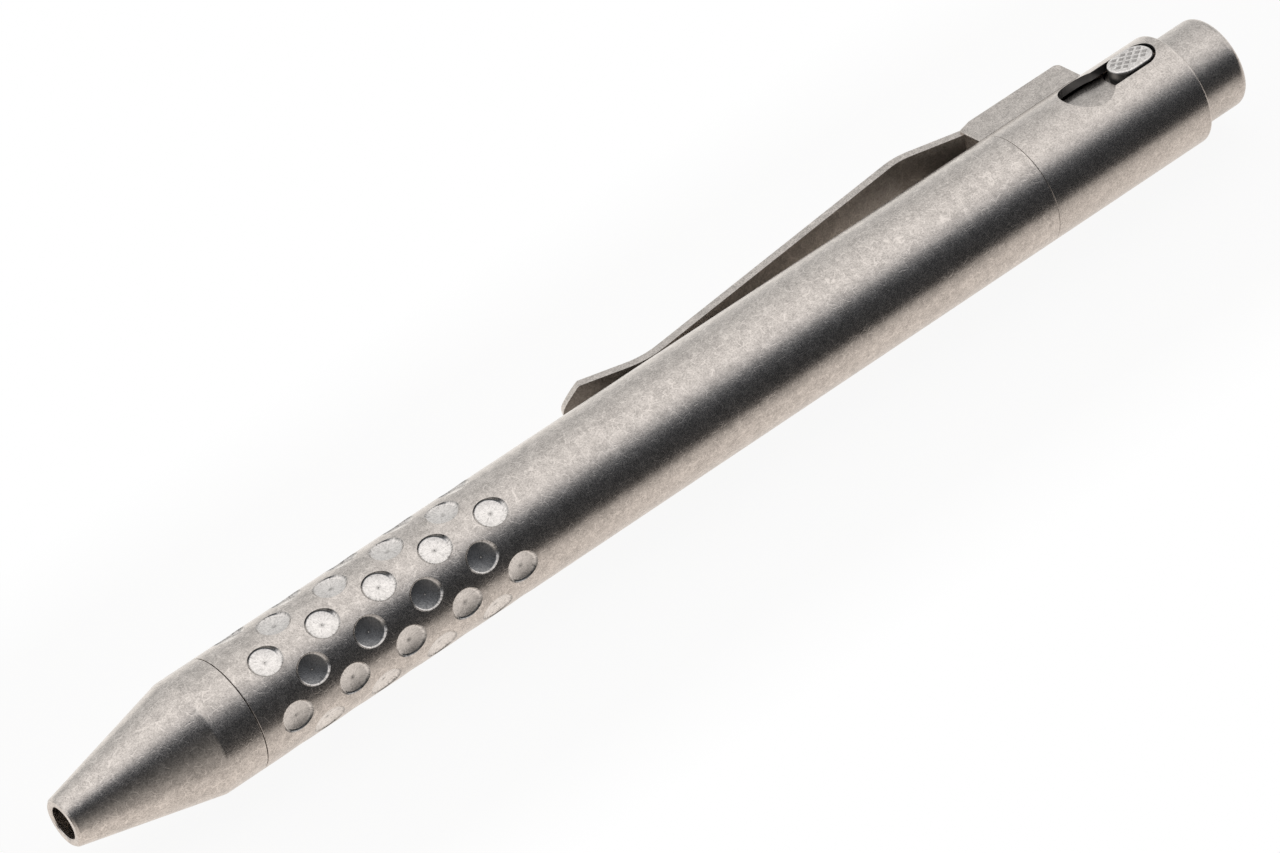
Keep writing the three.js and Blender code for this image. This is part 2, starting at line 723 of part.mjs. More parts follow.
// A coil spring along +Z from bottom to top, as one tube whose ends run straight for one wire's thickness
function coil(label, coilDiameter, wire, curls, bottom, top) {
  const radius = coilDiameter / 2;
  const low = bottom + wire / 2;
  const climb = top - wire / 2 - low;
  const steps = Math.round(curls * coilSteps);
  const centres = [];
  for (let i = 0; i <= steps; i++) {
    const turn = (2 * Math.PI * i) / coilSteps;
    centres.push(new THREE.Vector3(radius * Math.cos(turn), radius * Math.sin(turn), low + (climb * i) / steps));
  }
  const first = centres[0].clone().sub(centres[1]).setZ(0).normalize().multiplyScalar(wire);
  const last = centres[steps].clone().sub(centres[steps - 1]).setZ(0).normalize().multiplyScalar(wire);
  centres.unshift(centres[0].clone().add(first));
  centres.push(centres[steps + 1].clone().add(last));
  console.log(label + ": least gap between curls " + leastGap(centres, wire).toFixed(2) + " mm");
  const places = [];
  centres.forEach((centre, i) => {
    const before = centres[Math.max(i - 1, 0)];
    const after = centres[Math.min(i + 1, centres.length - 1)];
    const along = after.clone().sub(before).normalize();
    const outward = new THREE.Vector3(centre.x, centre.y, 0).normalize();
    const across = new THREE.Vector3().crossVectors(along, outward).normalize();
    outward.crossVectors(across, along);
    for (let side = 0; side < coilSides; side++) {
      const turn = (2 * Math.PI * side) / coilSides;
      const point = centre.clone();
      point.addScaledVector(outward, (wire / 2) * Math.cos(turn));
      point.addScaledVector(across, (wire / 2) * Math.sin(turn));
      places.push(...point.toArray());
    }
  });
  const corners = [];
  for (let i = 0; i < centres.length - 1; i++) {
    for (let side = 0; side < coilSides; side++) {
      const a = i * coilSides + side;
      const b = i * coilSides + ((side + 1) % coilSides);
      corners.push(a, b, a + coilSides, b, b + coilSides, a + coilSides);
    }
  }
  const lastRing = (centres.length - 1) * coilSides;
  for (let side = 1; side < coilSides - 1; side++) {
    corners.push(0, side + 1, side);
    corners.push(lastRing, lastRing + side, lastRing + side + 1);
  }
  const geometry = new THREE.BufferGeometry();
  geometry.setAttribute("position", new THREE.Float32BufferAttribute(places, 3));
  geometry.setIndex(corners);
  return solid(geometry);
}

// Return spring: on the nose's step, round the refill's neck, up to the refill's collar
const collarStart = refillStart + refillPointLength + refillSlimLength + refillNeckLength;

function returnSpring() {
  const bottom = springSeatAt + springEndGap;
  const top = collarStart - springEndGap;
  const spring = coil("return spring", returnCoilDiameter, returnWire, returnCurls, bottom, top);
  return spring.rotate([0, degrees(Math.PI / 2), 0]);
}

// Lock button's spring: on the well's floor, up into the recess under the button
function buttonSpring() {
  const bottom = buttonWellFloor + springEndGap;
  const top = flangeBottom + buttonSpringRoom - springEndGap;
  const spring = coil("button spring", buttonCoilDiameter, buttonWire, buttonCurls, bottom, top);
  return toButtonSide(spring).translate([buttonAt, 0, 0]);
}

// Refill point: a cone and a shank that the ball sits in front of
const ballMiddle = refillStart + refillBallDiameter / 2;
const pointFront = refillStart + refillBallShown;

function refillPoint() {
  const end = refillStart + refillPointLength;
  const radius = refillPointDiameter / 2;
  const rim = Math.sqrt((refillBallDiameter / 2) ** 2 - (ballMiddle - pointFront) ** 2);
  const seatRadius = refillBallDiameter / 2 + inkClearance;
  const seatEnd = ballMiddle + seatRadius;
  return turned(
    [
      [seatEnd, 0],
      [seatEnd, seatRadius],
      [pointFront, rim + inkClearance],
      [pointFront, seatRadius + inkClearance],
      [pointFront + refillPointCone, radius],
      [end, radius],
      [end, 0],
    ],
    smallSteps,
  );
}

function refillBall() {
  const geometry = new THREE.SphereGeometry(refillBallDiameter / 2, smallSteps, smallSteps / 2);
  geometry.translate(ballMiddle, 0, 0);
  return solid(geometry);
}

// Refill nose: a slim front, a neck that the return spring goes round, a collar and a plug into the tube
const tubeStart = collarStart + refillCollarLength;
const plugRadius = refillBoreDiameter / 2 - refillPlugClearance;

function refillNose() {
  const start = refillStart + refillPointLength;
  const neckStart = start + refillSlimLength;
  return turned(
    [
      [start, 0],
      [start, refillSlimDiameter / 2],
      [neckStart, refillSlimDiameter / 2],
      [neckStart, refillNeckDiameter / 2],
      [collarStart, refillNeckDiameter / 2],
      [collarStart, refillDiameter / 2],
      [tubeStart, refillDiameter / 2],
      [tubeStart, plugRadius],
      [tubeStart + refillPlugInDepth, plugRadius],
      [tubeStart + refillPlugInDepth, 0],
    ],
    innerSteps,
  );
}

const tubeEnd = refillEnd - refillEndCollarLength;

function refillTube() {
  return turned(
    [
      [tubeStart, refillBoreDiameter / 2],
      [tubeStart, refillDiameter / 2],
      [tubeEnd, refillDiameter / 2],
      [tubeEnd, refillBoreDiameter / 2],
    ],
    innerSteps,
  );
}

function refillEndPlug() {
  return turned(
    [
      [tubeEnd - refillPlugInDepth, refillVentDiameter / 2],
      [tubeEnd - refillPlugInDepth, plugRadius],
      [tubeEnd, plugRadius],
      [tubeEnd, refillDiameter / 2],
      [refillEnd, refillDiameter / 2],
      [refillEnd, refillVentDiameter / 2],
    ],
    innerSteps,
  );
}

function fill(start, length) {
  const radius = refillBoreDiameter / 2 - inkClearance;
  return turned(
    [
      [start, 0],
      [start, radius],
      [start + length, radius],
      [start + length, 0],
    ],
    innerSteps,
  );
}

const inkStart = tubeStart + refillPlugInDepth;
const followerStart = tubeEnd - refillPlugInDepth - refillAirLength - inkFollowerLength;
const noseRingAt = noseLength + ringGrooveInset + ringGrooveWidth / 2;
const capRingAt = barrelEnd - ringGrooveInset - ringGrooveWidth / 2;

addPiece("nose_cone", noseCone(), tumbledMetal);
addPiece("nose_o_ring", ring(noseRingAt, noseSpigotDiameter), sealRubber);
addPiece("barrel", barrel(), tumbledMetal);
addPiece("cap_o_ring", ring(capRingAt, capSpigotDiameter), sealRubber);
addPiece("cap_housing", capHousing(), tumbledMetal);
addPiece("pocket_clip", pocketClip(), tumbledMetal);
addPiece("clip_screw_front", clipScrew(screwPlaces[0]), screwSteel);
addPiece("clip_screw_rear", clipScrew(screwPlaces[1]), screwSteel);
addPiece("plunger", plunger(), tumbledMetal);
addPiece("push_rod", pushRod(), tumbledMetal);
addPiece("lock_button", lockButton(), buttonMetal);
addPiece("lock_button_spring", buttonSpring(), springSteel);
addPiece("return_spring", returnSpring(), springSteel);
addPiece("refill_point", refillPoint(), pointBrass);
addPiece("refill_ball", refillBall(), springSteel);
addPiece("refill_nose", refillNose(), refillBlack);
addPiece("refill_tube", refillTube(), refillPlastic);
addPiece("refill_end_plug", refillEndPlug(), refillBlack);
addPiece("ink_column", fill(inkStart, followerStart - inkStart), inkBlack);
addPiece("ink_follower", fill(followerStart, inkFollowerLength), followerGrease);

// The pen is turned until the block's rounded edge and the barrel lie on the same level
const edgeY = clipBlockWidth / 2 - clipBlockSideInset - clipBlockEdgeRound;
const edgeZ = clipBlockHeight - clipBlockEdgeRound;
const edgeReach = Math.hypot(edgeY, edgeZ);
const clipFromDown = Math.atan2(edgeY, edgeZ) + Math.acos((bodyRadius - clipBlockEdgeRound) / edgeReach);
pen.rotation.x = clipFromDown - Math.PI;

// It stands on Z = 0, with the origin under the middle of its box
const lyingPen = new THREE.Group();
lyingPen.add(pen);
const box = new THREE.Box3().setFromObject(lyingPen, true);
const middle = box.getCenter(new THREE.Vector3());
pen.position.set(-middle.x, -middle.y, -box.min.z);

export default lyingPen;
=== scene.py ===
# Button-lock click pen in tumbled titanium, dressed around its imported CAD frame.
# Every piece is modelled in millimetres along the pen's own axis: X runs from the writing tip,
# the clip stands up along Z and the lock button looks towards -Y. layDown() then puts it on the table.
import math

import bpy
from mathutils import Matrix, Vector


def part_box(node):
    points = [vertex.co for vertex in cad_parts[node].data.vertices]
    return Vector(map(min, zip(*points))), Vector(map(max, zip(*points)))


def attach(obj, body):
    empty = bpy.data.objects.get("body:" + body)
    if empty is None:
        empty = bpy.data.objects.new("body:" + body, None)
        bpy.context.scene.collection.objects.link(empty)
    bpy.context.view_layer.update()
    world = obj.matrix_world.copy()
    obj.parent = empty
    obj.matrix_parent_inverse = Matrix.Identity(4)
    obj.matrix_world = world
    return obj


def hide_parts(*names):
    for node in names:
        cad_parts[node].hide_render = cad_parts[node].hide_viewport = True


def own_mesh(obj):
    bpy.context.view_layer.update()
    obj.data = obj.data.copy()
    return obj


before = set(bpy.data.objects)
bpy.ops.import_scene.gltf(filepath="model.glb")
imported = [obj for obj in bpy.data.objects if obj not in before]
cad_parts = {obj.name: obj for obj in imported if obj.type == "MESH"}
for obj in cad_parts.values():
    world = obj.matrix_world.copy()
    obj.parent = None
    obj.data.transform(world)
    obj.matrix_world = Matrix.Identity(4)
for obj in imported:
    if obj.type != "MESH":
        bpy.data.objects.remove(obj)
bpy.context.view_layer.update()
print("frame loaded:", len(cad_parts), "nodes")

# How the pen lies: on its barrel and on one upper edge of the clip's block
mm = 0.001
bodyRadius = 6.35
lay = {"blockHalf": 4.97, "blockTop": 7.85, "blockEdge": 0.15}
edgeY = lay["blockHalf"] - lay["blockEdge"]
edgeZ = lay["blockTop"] - lay["blockEdge"]
edgeTurn = math.atan2(edgeY, edgeZ)
tableTurn = math.acos((bodyRadius - lay["blockEdge"]) / math.hypot(edgeY, edgeZ))
lean = edgeTurn + tableTurn - math.pi
plungerLow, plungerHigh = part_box("plunger")
penOrigin = Vector(
    (
        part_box("nose_cone")[0].x,
        (plungerLow.y + plungerHigh.y) / 2,
        (plungerLow.z + plungerHigh.z) / 2,
    )
)
layMatrix = Matrix.Translation(penOrigin) @ Matrix.Rotation(lean, 4, "X") @ Matrix.Scale(mm, 4)

# The workshop: what every piece is modelled with, in millimetres
near = 0.01  # two places this close count as one
sameRadius = 0.000001
overrun = 1  # how far a cutter stands out of what it cuts


def selectOnly(*objs):
    if bpy.context.mode != "OBJECT":
        bpy.ops.object.mode_set(mode="OBJECT")
    bpy.ops.object.select_all(action="DESELECT")
    for obj in objs:
        obj.select_set(True)
    if objs:
        bpy.context.view_layer.objects.active = objs[0]


def startEditing(obj):
    selectOnly(obj)
    bpy.ops.object.mode_set(mode="EDIT")
    bpy.ops.mesh.select_all(action="SELECT")


def stopEditing():
    bpy.ops.mesh.select_all(action="SELECT")
    bpy.ops.mesh.normals_make_consistent(inside=False)
    bpy.ops.object.mode_set(mode="OBJECT")


def pickEdges(obj, wanted):
    # edges whose two ends both pass the test
    bpy.ops.mesh.select_mode(type="VERT")
    bpy.ops.mesh.select_all(action="DESELECT")
    bpy.ops.object.mode_set(mode="OBJECT")
    for v in obj.data.vertices:
        v.select = wanted(v.co)
    bpy.ops.object.mode_set(mode="EDIT")
    bpy.ops.mesh.select_mode(type="EDGE")


def applyPlace(obj):
    selectOnly(obj)
    bpy.ops.object.transform_apply(location=True, rotation=True, scale=True)


def applyModifier(obj, kind, **settings):
    selectOnly(obj)
    mod = obj.modifiers.new(kind.title(), kind)
    for key, value in settings.items():
        setattr(mod, key, value)
    bpy.ops.object.modifier_apply(modifier=mod.name)


def carve(obj, cutter, operation="DIFFERENCE", finish=0):
    # the cut's own walls may take another of the piece's finishes
    if finish:
        for side in (obj, cutter):
            while len(side.data.materials) <= finish:
                side.data.materials.append(None)
        cutter.data.polygons.foreach_set("material_index", [finish] * len(cutter.data.polygons))
    applyModifier(obj, "BOOLEAN", object=cutter, operation=operation, solver="MANIFOLD")
    bpy.data.objects.remove(cutter, do_unlink=True)


def join(objs):
    selectOnly(*objs)
    bpy.ops.object.join()
    return objs[0]


def copyTo(obj, place):
    twin = obj.copy()
    twin.data = obj.data.copy()
    bpy.context.collection.objects.link(twin)
    twin.matrix_world = place
    applyPlace(twin)
    return twin


def box(x, y, z):
    # a block between three pairs of limits
    selectOnly()
    size = (x[1] - x[0], y[1] - y[0], z[1] - z[0])
    middle = ((x[0] + x[1]) / 2, (y[0] + y[1]) / 2, (z[0] + z[1]) / 2)
    bpy.ops.mesh.primitive_cube_add(size=1, location=middle, scale=size)
    obj = bpy.context.object
    applyPlace(obj)
    return obj


def eased(corners, steps=5):
    # corners are (place, radius) or (place, radius, rounding), and each rounding becomes an arc
    line = []
    for i, corner in enumerate(corners):
        here = Vector(corner[:2])
        ease = corner[2] if len(corner) > 2 else 0
        if not ease:
            line.append(here)
            continue
        back = (Vector(corners[i - 1][:2]) - here).normalized()
        on = (Vector(corners[(i + 1) % len(corners)][:2]) - here).normalized()
        half = back.angle(on) / 2
        start = here + back * ease / math.tan(half)
        middle = here + (back + on).normalized() * ease / math.sin(half)
        sweep = math.pi - 2 * half
        way = -1 if back.cross(on) > 0 else 1
        for k in range(steps + 1):
            line.append(middle + Matrix.Rotation(way * sweep * k / steps, 2) @ (start - middle))
    return line


def circle(name, segments, radius, place, rotation, fill="NOTHING"):
    selectOnly()
    bpy.ops.mesh.primitive_circle_add(
        vertices=segments, radius=radius, fill_type=fill, location=place, rotation=rotation
    )
    obj = bpy.context.object
    obj.name = name
    applyPlace(obj)
    return obj


def lathe(name, line, segments, closed):
    # a ring is extruded from point to point along X; a tube's last ring is bridged back to its first
    x, r = line[0]
    obj = circle(name, segments, r, (x, 0, 0), (0, math.pi / 2, 0), "NOTHING" if closed else "NGON")
    startEditing(obj)
    for nextX, nextR in line[1:]:
        bpy.ops.mesh.extrude_region_move(TRANSFORM_OT_translate={"value": (nextX - x, 0, 0)})
        if abs(nextR - r) > sameRadius:
            bpy.ops.transform.resize(value=(1, nextR / r, nextR / r), center_override=(nextX, 0, 0))
        x, r = nextX, nextR
    if closed:
        bpy.ops.mesh.select_mode(type="EDGE")
        bpy.ops.mesh.select_all(action="DESELECT")
        bpy.ops.mesh.select_non_manifold()
        bpy.ops.mesh.bridge_edge_loops()
        bpy.ops.mesh.select_mode(type="VERT")
    stopEditing()
    return obj


def turnedTube(name, corners, segments=256, steps=5):
    return lathe(name, eased(corners, steps), segments, closed=True)


def turnedBar(name, corners, segments=256, steps=5):
    ends = [(corners[0][0], 0.0)] + corners + [(corners[-1][0], 0.0)]
    return lathe(name, eased(ends, steps)[1:-1], segments, closed=False)


towardsClip = 0.0
towardsButton = math.pi / 2


def cylinder(name, start, end, radius, segments):
    return turnedBar(name, [(start, radius), (end, radius)], segments)


def upright(x, side):
    # how something turned along X comes to stand out of the axis, at x along the pen
    out = Matrix.Rotation(side, 4, "X") @ Matrix.Rotation(-math.pi / 2, 4, "Y")
    return Matrix.Translation((x, 0, 0)) @ out


def standUp(obj, x, side):
    obj.matrix_world = upright(x, side)
    applyPlace(obj)
    return obj


def layDown(obj, node, body, slotName, *finishes, smooth=30):
    selectOnly(obj)
    bpy.ops.object.shade_smooth_by_angle(angle=math.radians(smooth))
    applyModifier(obj, "WEIGHTED_NORMAL", keep_sharp=True, weight=100)
    obj.matrix_world = layMatrix
    applyPlace(obj)
    while len(obj.data.materials) < len(finishes):
        obj.data.materials.append(None)
    for i, finish in enumerate(finishes):
        obj.data.materials[i] = finish
    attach(obj, body)
    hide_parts(node)
    print("  ", obj.name, len(obj.data.polygons), "faces")


# Finishes. A noise's scale is in cells for each metre, and a bump's depth is in metres.
def startMaterial(name):
    material = bpy.data.materials.new(name)
    material.use_nodes = True
    tree = material.node_tree
    return material, tree, tree.nodes["Principled BSDF"]


def feed(tree, socket, value):
    if isinstance(value, bpy.types.NodeSocket):
        tree.links.new(value, socket)
    else:
        socket.default_value = value


def nodeOn(tree, kind, inputs, **settings):
    node = tree.nodes.new("ShaderNode" + kind)
    for key, value in settings.items():
        setattr(node, key, value)
    for name, value in inputs.items():
        feed(tree, node.inputs[name], value)
    return node


def sumOn(tree, operation, a, b=0.0, c=0.0, clamp=False):
    node = nodeOn(tree, "Math", {0: a, 1: b, 2: c}, operation=operation, use_clamp=clamp)
    return node.outputs[0]


def noiseOn(tree, place, scale, detail=3, roughness=0.6):
    inputs = {"Vector": place, "Scale": scale, "Detail": detail, "Roughness": roughness}
    return nodeOn(tree, "TexNoise", inputs).outputs["Fac"]


def rangeOn(tree, value, low, high, lowOut=0.0, highOut=1.0):
    # a smooth step from lowOut to highOut
    inputs = {"Value": value, "From Min": low, "From Max": high, "To Min": lowOut, "To Max": highOut}
    return nodeOn(tree, "MapRange", inputs, interpolation_type="SMOOTHSTEP").outputs["Result"]


def fromMean(tree, noise):
    return sumOn(tree, "SUBTRACT", noise, 0.5)


def tintOn(tree, value, tint, low, high, spread):
    # the metal's tint, darker at low and lighter at high
    shade = tree.nodes.new("ShaderNodeValToRGB")
    for element, position, factor in zip(shade.color_ramp.elements, (low, high), (1 - spread, 1 + spread)):
        element.position = position
        element.color = (tint[0] * factor, tint[1] * factor, tint[2] * factor, 1)
    tree.links.new(value, shade.inputs["Fac"])
    return shade.outputs["Color"]


def dress(tree, shader, colour, roughness, metallic, relief, marks):
    inputs = {"Height": relief, "Strength": marks["bump"], "Distance": marks["depth"]}
    feed(tree, shader.inputs["Base Color"], colour)
    feed(tree, shader.inputs["Roughness"], roughness)
    feed(tree, shader.inputs["Metallic"], metallic)
    feed(tree, shader.inputs["Normal"], nodeOn(tree, "Bump", inputs).outputs["Normal"])


def rampOn(tree, value, stops):
    # stops are (number, red, green, blue), and the value runs from 0 at the first to 1 at the last of them
    ramp = tree.nodes.new("ShaderNodeValToRGB")
    first, last = stops[0][0], stops[-1][0]
    for i, (number, red, green, blue) in enumerate(stops):
        share = (number - first) / (last - first)
        stop = ramp.color_ramp.elements[i] if i < 2 else ramp.color_ramp.elements.new(share)
        stop.position = share
        stop.color = (red, green, blue, 1)
    tree.links.new(value, ramp.inputs["Fac"])
    return ramp.outputs["Color"]


def mixOn(tree, factor, first, second):
    # a Mix node has its factor, its two colours and its result at these places
    return nodeOn(tree, "Mix", {0: factor, 6: first, 7: second}, data_type="RGBA").outputs[2]


def placeOn(tree):
    return tree.nodes.new("ShaderNodeTexCoord").outputs["Object"]


def splitOn(tree, vector):
    return nodeOn(tree, "SeparateXYZ", {0: vector}).outputs


tumbled = {
    "seedShift": (0.37, 0.11, 0.23),
    "grain": 6500,
    "cloud": 900,
    "fleck": 4400,
    "fleckShare": 0.35,
    "nickCells": 900,
    "nickWander": 1100,
    "nickDrift": 0.0006,
    "nickWidth": 0.07,
    "nickPatches": 1500,
    "patchEdge": (0.48, 0.6),
    "grainEdge": (0.35, 0.65),
    "tints": (0.28, 0.74, 0.3),
    "bump": 0.6,
    "depth": 0.000012,
}


def spotOn(tree, seed):
    shift = [seed * step for step in tumbled["seedShift"]]
    return nodeOn(tree, "Mapping", {"Vector": placeOn(tree), "Location": shift}).outputs["Vector"]


def nicksOn(tree, spot):
    # the borders of wandering cells, kept only here and there
    wander = nodeOn(tree, "TexNoise", {"Vector": spot, "Scale": tumbled["nickWander"]}).outputs["Color"]
    inputs = {0: wander, 1: [tumbled["nickDrift"]] * 3, 2: spot}
    drift = nodeOn(tree, "VectorMath", inputs, operation="MULTIPLY_ADD").outputs["Vector"]
    inputs = {"Vector": drift, "Scale": tumbled["nickCells"]}
    cells = nodeOn(tree, "TexVoronoi", inputs, feature="DISTANCE_TO_EDGE")
    border = rangeOn(tree, cells.outputs["Distance"], 0.0, tumbled["nickWidth"], 1.0, 0.0)
    patches = rangeOn(tree, noiseOn(tree, spot, tumbled["nickPatches"], 1, 0.5), *tumbled["patchEdge"])
    return sumOn(tree, "MULTIPLY", border, patches)


def tumbledTitanium(name, tint, seed, roughness=0.26, clouds=0.7, nicked=0.3, shade=None):
    # the stones leave an even fine speckle, faint clouds and many short bright nicks
    material, tree, shader = startMaterial(name)
    spot = spotOn(tree, seed)
    grain = noiseOn(tree, spot, tumbled["grain"], 2, 0.7)
    cloud = noiseOn(tree, spot, tumbled["cloud"], 4, 0.7)
    speckle = sumOn(tree, "MULTIPLY_ADD", fromMean(tree, cloud), clouds, grain)
    nicks = nicksOn(tree, spot)
    fleck = noiseOn(tree, spot, tumbled["fleck"], 1, 0.5)
    flecks = sumOn(tree, "MULTIPLY", fromMean(tree, fleck), tumbled["fleckShare"])
    paint = sumOn(tree, "MULTIPLY_ADD", nicks, nicked, sumOn(tree, "ADD", speckle, flecks))
    colour = tintOn(tree, paint, tint, *tumbled["tints"])
    if shade:
        inputs = {0: colour, "Scale": shade(tree)}
        colour = nodeOn(tree, "VectorMath", inputs, operation="SCALE").outputs[0]
    gloss = rangeOn(tree, grain, *tumbled["grainEdge"], roughness - 0.03, roughness + 0.04)
    relief = sumOn(tree, "MULTIPLY_ADD", nicks, -2 * nicked, speckle)
    dress(tree, shader, colour, gloss, 1.0, relief, tumbled)
    return material


# where the painted shade starts and ends, in metres along the pen from its middle
fades = {"armCurl": (0.002, 0.006), "armRoot": (0.028, 0.046), "thumbEnd": (0.0655, 0.0685)}


def fadeOn(tree, name, lowOut, highOut):
    return rangeOn(tree, splitOn(tree, placeOn(tree))["X"], *fades[name], lowOut, highOut)


def underArmPaintedShade(tree):
    # painted shade: the arm's underside is painted darker at its curled end and in the corner beside its
    # block
    return sumOn(tree, "MULTIPLY", fadeOn(tree, "armCurl", 0.5, 1.0), fadeOn(tree, "armRoot", 1.0, 0.55))


def plungerPaintedShade(tree):
    # painted shade: the part inside the rear tube, seen through the keyhole, is painted darker
    return fadeOn(tree, "thumbEnd", 0.85, 1.0)


# A dish's floor. Its dirt and the painted shade in its corner go by the distance from the dish's middle in
# millimetres:
# (from, to, paint at the one, paint at the other)
milled = {
    "spokes": 9,
    "spokeRun": 1.4,
    "rowSeed": 7.3,
    "dishSeed": 3.1,
    "grain": 4500,
    "grainShare": 0.6,
    "level": 0.27,
    "streakShare": 0.8,
    "nickShare": 0.15,
    "reliefShare": 0.7,
    "tints": (0.0, 0.66, 0.64),
    "hairs": (0.7, 1.65, 0.0, -0.45),
    "tipMark": (0.08, 0.45, -0.5, 0.0),
    "paintedCornerShade": (1.62, 1.82, 0.0, -0.32),
}


def milledTitanium(name, tint, seed, roughness, place):
    # the cutter's streaks run out from a dish's middle; place() gives a spot's way from it in millimetres,
    # along and across the pen, and a number for the dish
    material, tree, shader = startMaterial(name)
    spot = spotOn(tree, seed)
    along, across, cell = place(tree)
    heading = sumOn(tree, "ARCTAN2", across, along)
    squares = sumOn(tree, "MULTIPLY_ADD", along, along, sumOn(tree, "MULTIPLY", across, across))
    away = sumOn(tree, "SQRT", squares)
    spread = {"Z": sumOn(tree, "MULTIPLY_ADD", away, milled["spokeRun"], cell)}
    for axis, wave in (("X", "COSINE"), ("Y", "SINE")):
        spread[axis] = sumOn(tree, "MULTIPLY", sumOn(tree, wave, heading), milled["spokes"])
    spokes = nodeOn(tree, "CombineXYZ", spread)
    streaks = noiseOn(tree, spokes.outputs[0], 1, 2, 0.6)
    grain = noiseOn(tree, spot, milled["grain"], 2, 0.7)
    nicks = nicksOn(tree, spot)
    floor = sumOn(tree, "MULTIPLY_ADD", grain, milled["grainShare"], milled["level"])
    floor = sumOn(tree, "MULTIPLY_ADD", fromMean(tree, streaks), milled["streakShare"], floor)
    # dark hairs stand round the edge, the cutter's tip leaves a dark mark, and a dark line of painted shade
    # lies along the cut's corner
    hairs = sumOn(tree, "MULTIPLY", rangeOn(tree, streaks, 0.5, 0.68), rangeOn(tree, away, *milled["hairs"]))
    tipStreaks = rangeOn(tree, streaks, 0.4, 0.58, 0.1, 1.0)
    tipMark = sumOn(tree, "MULTIPLY", rangeOn(tree, away, *milled["tipMark"]), tipStreaks)
    paintedCornerShade = rangeOn(tree, away, *milled["paintedCornerShade"])
    dirtAndCornerShade = sumOn(tree, "ADD", sumOn(tree, "ADD", hairs, tipMark), paintedCornerShade)
    paint = sumOn(tree, "ADD", sumOn(tree, "MULTIPLY_ADD", nicks, milled["nickShare"], floor), dirtAndCornerShade)
    relief = sumOn(tree, "MULTIPLY_ADD", fromMean(tree, streaks), milled["reliefShare"], grain)
    dress(tree, shader, tintOn(tree, paint, tint, *milled["tints"]), roughness, 1.0, relief, tumbled)
    return material


plain = {"grain": 900, "variation": 0.08, "bump": 0.2, "depth": 0.00001}


def plainFinish(name, colour, roughness, metallic=0.0):
    material, tree, shader = startMaterial(name)
    speckle = noiseOn(tree, placeOn(tree), plain["grain"])
    tint = tintOn(tree, speckle, colour, 0, 1, plain["variation"])
    dress(tree, shader, tint, roughness, metallic, speckle, plain)
    return material


titanium = (0.60, 0.55, 0.505)
rubbedTitanium = (0.56, 0.516, 0.476)
noseMetal = tumbledTitanium("tumbledTitaniumNose", titanium, 1)
barrelMetal = tumbledTitanium("tumbledTitaniumBarrel", titanium, 2)
rearMetal = tumbledTitanium("tumbledTitaniumRear", titanium, 3, clouds=0.5, nicked=0.15)
clipMetal = tumbledTitanium("tumbledTitaniumClip", titanium, 4, roughness=0.3, clouds=0.6, nicked=0.2)
# the plunger carries painted shade where it lies inside the rear tube
plungerMetal = tumbledTitanium(
    "tumbledTitaniumPlunger", rubbedTitanium, 5, roughness=0.3, clouds=0.5, nicked=0.15, shade=plungerPaintedShade
)
rodMetal = tumbledTitanium("tumbledTitaniumRod", titanium, 6)
# painted shade: the arm's underside is painted darker than the rest of the clip
paintedShadeUnderArmMetal = tumbledTitanium(
    "tumbledTitaniumUnderArmPaintedShade", (0.46, 0.42, 0.38), 9, roughness=0.4, shade=underArmPaintedShade
)
buttonMetal = tumbledTitanium("tumbledTitaniumButton", (0.79, 0.752, 0.718), 7, roughness=0.34)
# painted shade: the walls cut for the keyhole and the button's well are painted dark as the shade in them
paintedShadeWallMetal = plainFinish("paintedShadeWall", (0.2, 0.2, 0.2), 0.42, 1.0)
# painted shade: the button's flanks are painted darker as the shade beside the head
paintedShadeFlankMetal = plainFinish("buttonFlankPaintedShade", (0.36, 0.345, 0.33), 0.42, 1.0)
# painted shade: the knurl's pits are painted darker as the shade in them
paintedShadePitMetal = plainFinish("knurlPitPaintedShade", (0.44, 0.42, 0.4), 0.42, 1.0)
screwSteel = plainFinish("screwSteel", (0.08, 0.08, 0.085), 0.35, 1.0)
springSteel = plainFinish("springWire", (0.62, 0.63, 0.65), 0.25, 1.0)
sealRubber = plainFinish("sealRubber", (0.02, 0.02, 0.02), 0.7)
tubePlastic = plainFinish("refillTubePlastic", (0.68, 0.72, 0.74), 0.3)
blackPlastic = plainFinish("refillBlackPlastic", (0.02, 0.02, 0.022), 0.45)
pointBrass = plainFinish("refillPointBrass", (0.72, 0.55, 0.3), 0.28, 1.0)
inkGel = plainFinish("inkGel", (0.01, 0.01, 0.014), 0.15)
followerGrease = plainFinish("followerGrease", (0.75, 0.68, 0.45), 0.2)
print("finishes ready")

# Nose: a straight cone with a bevelled end face, its spigot and the return spring's seat
seamBreak = 0.07
seamGap = 0.04  # half the hairline between nose and barrel
rearSeamBreak = 0.05
rearSeamGap = 0.02  # half the hairline between barrel and rear tube
grooveDepth = 0.55


def grooveOf(piece):
    # the O-ring's groove round a spigot
    floor = piece["spigot"] - grooveDepth
    start, end = piece["grooveFrom"], piece["grooveTo"]
    return [(start, piece["spigot"]), (start, floor), (end, floor), (end, piece["spigot"])]


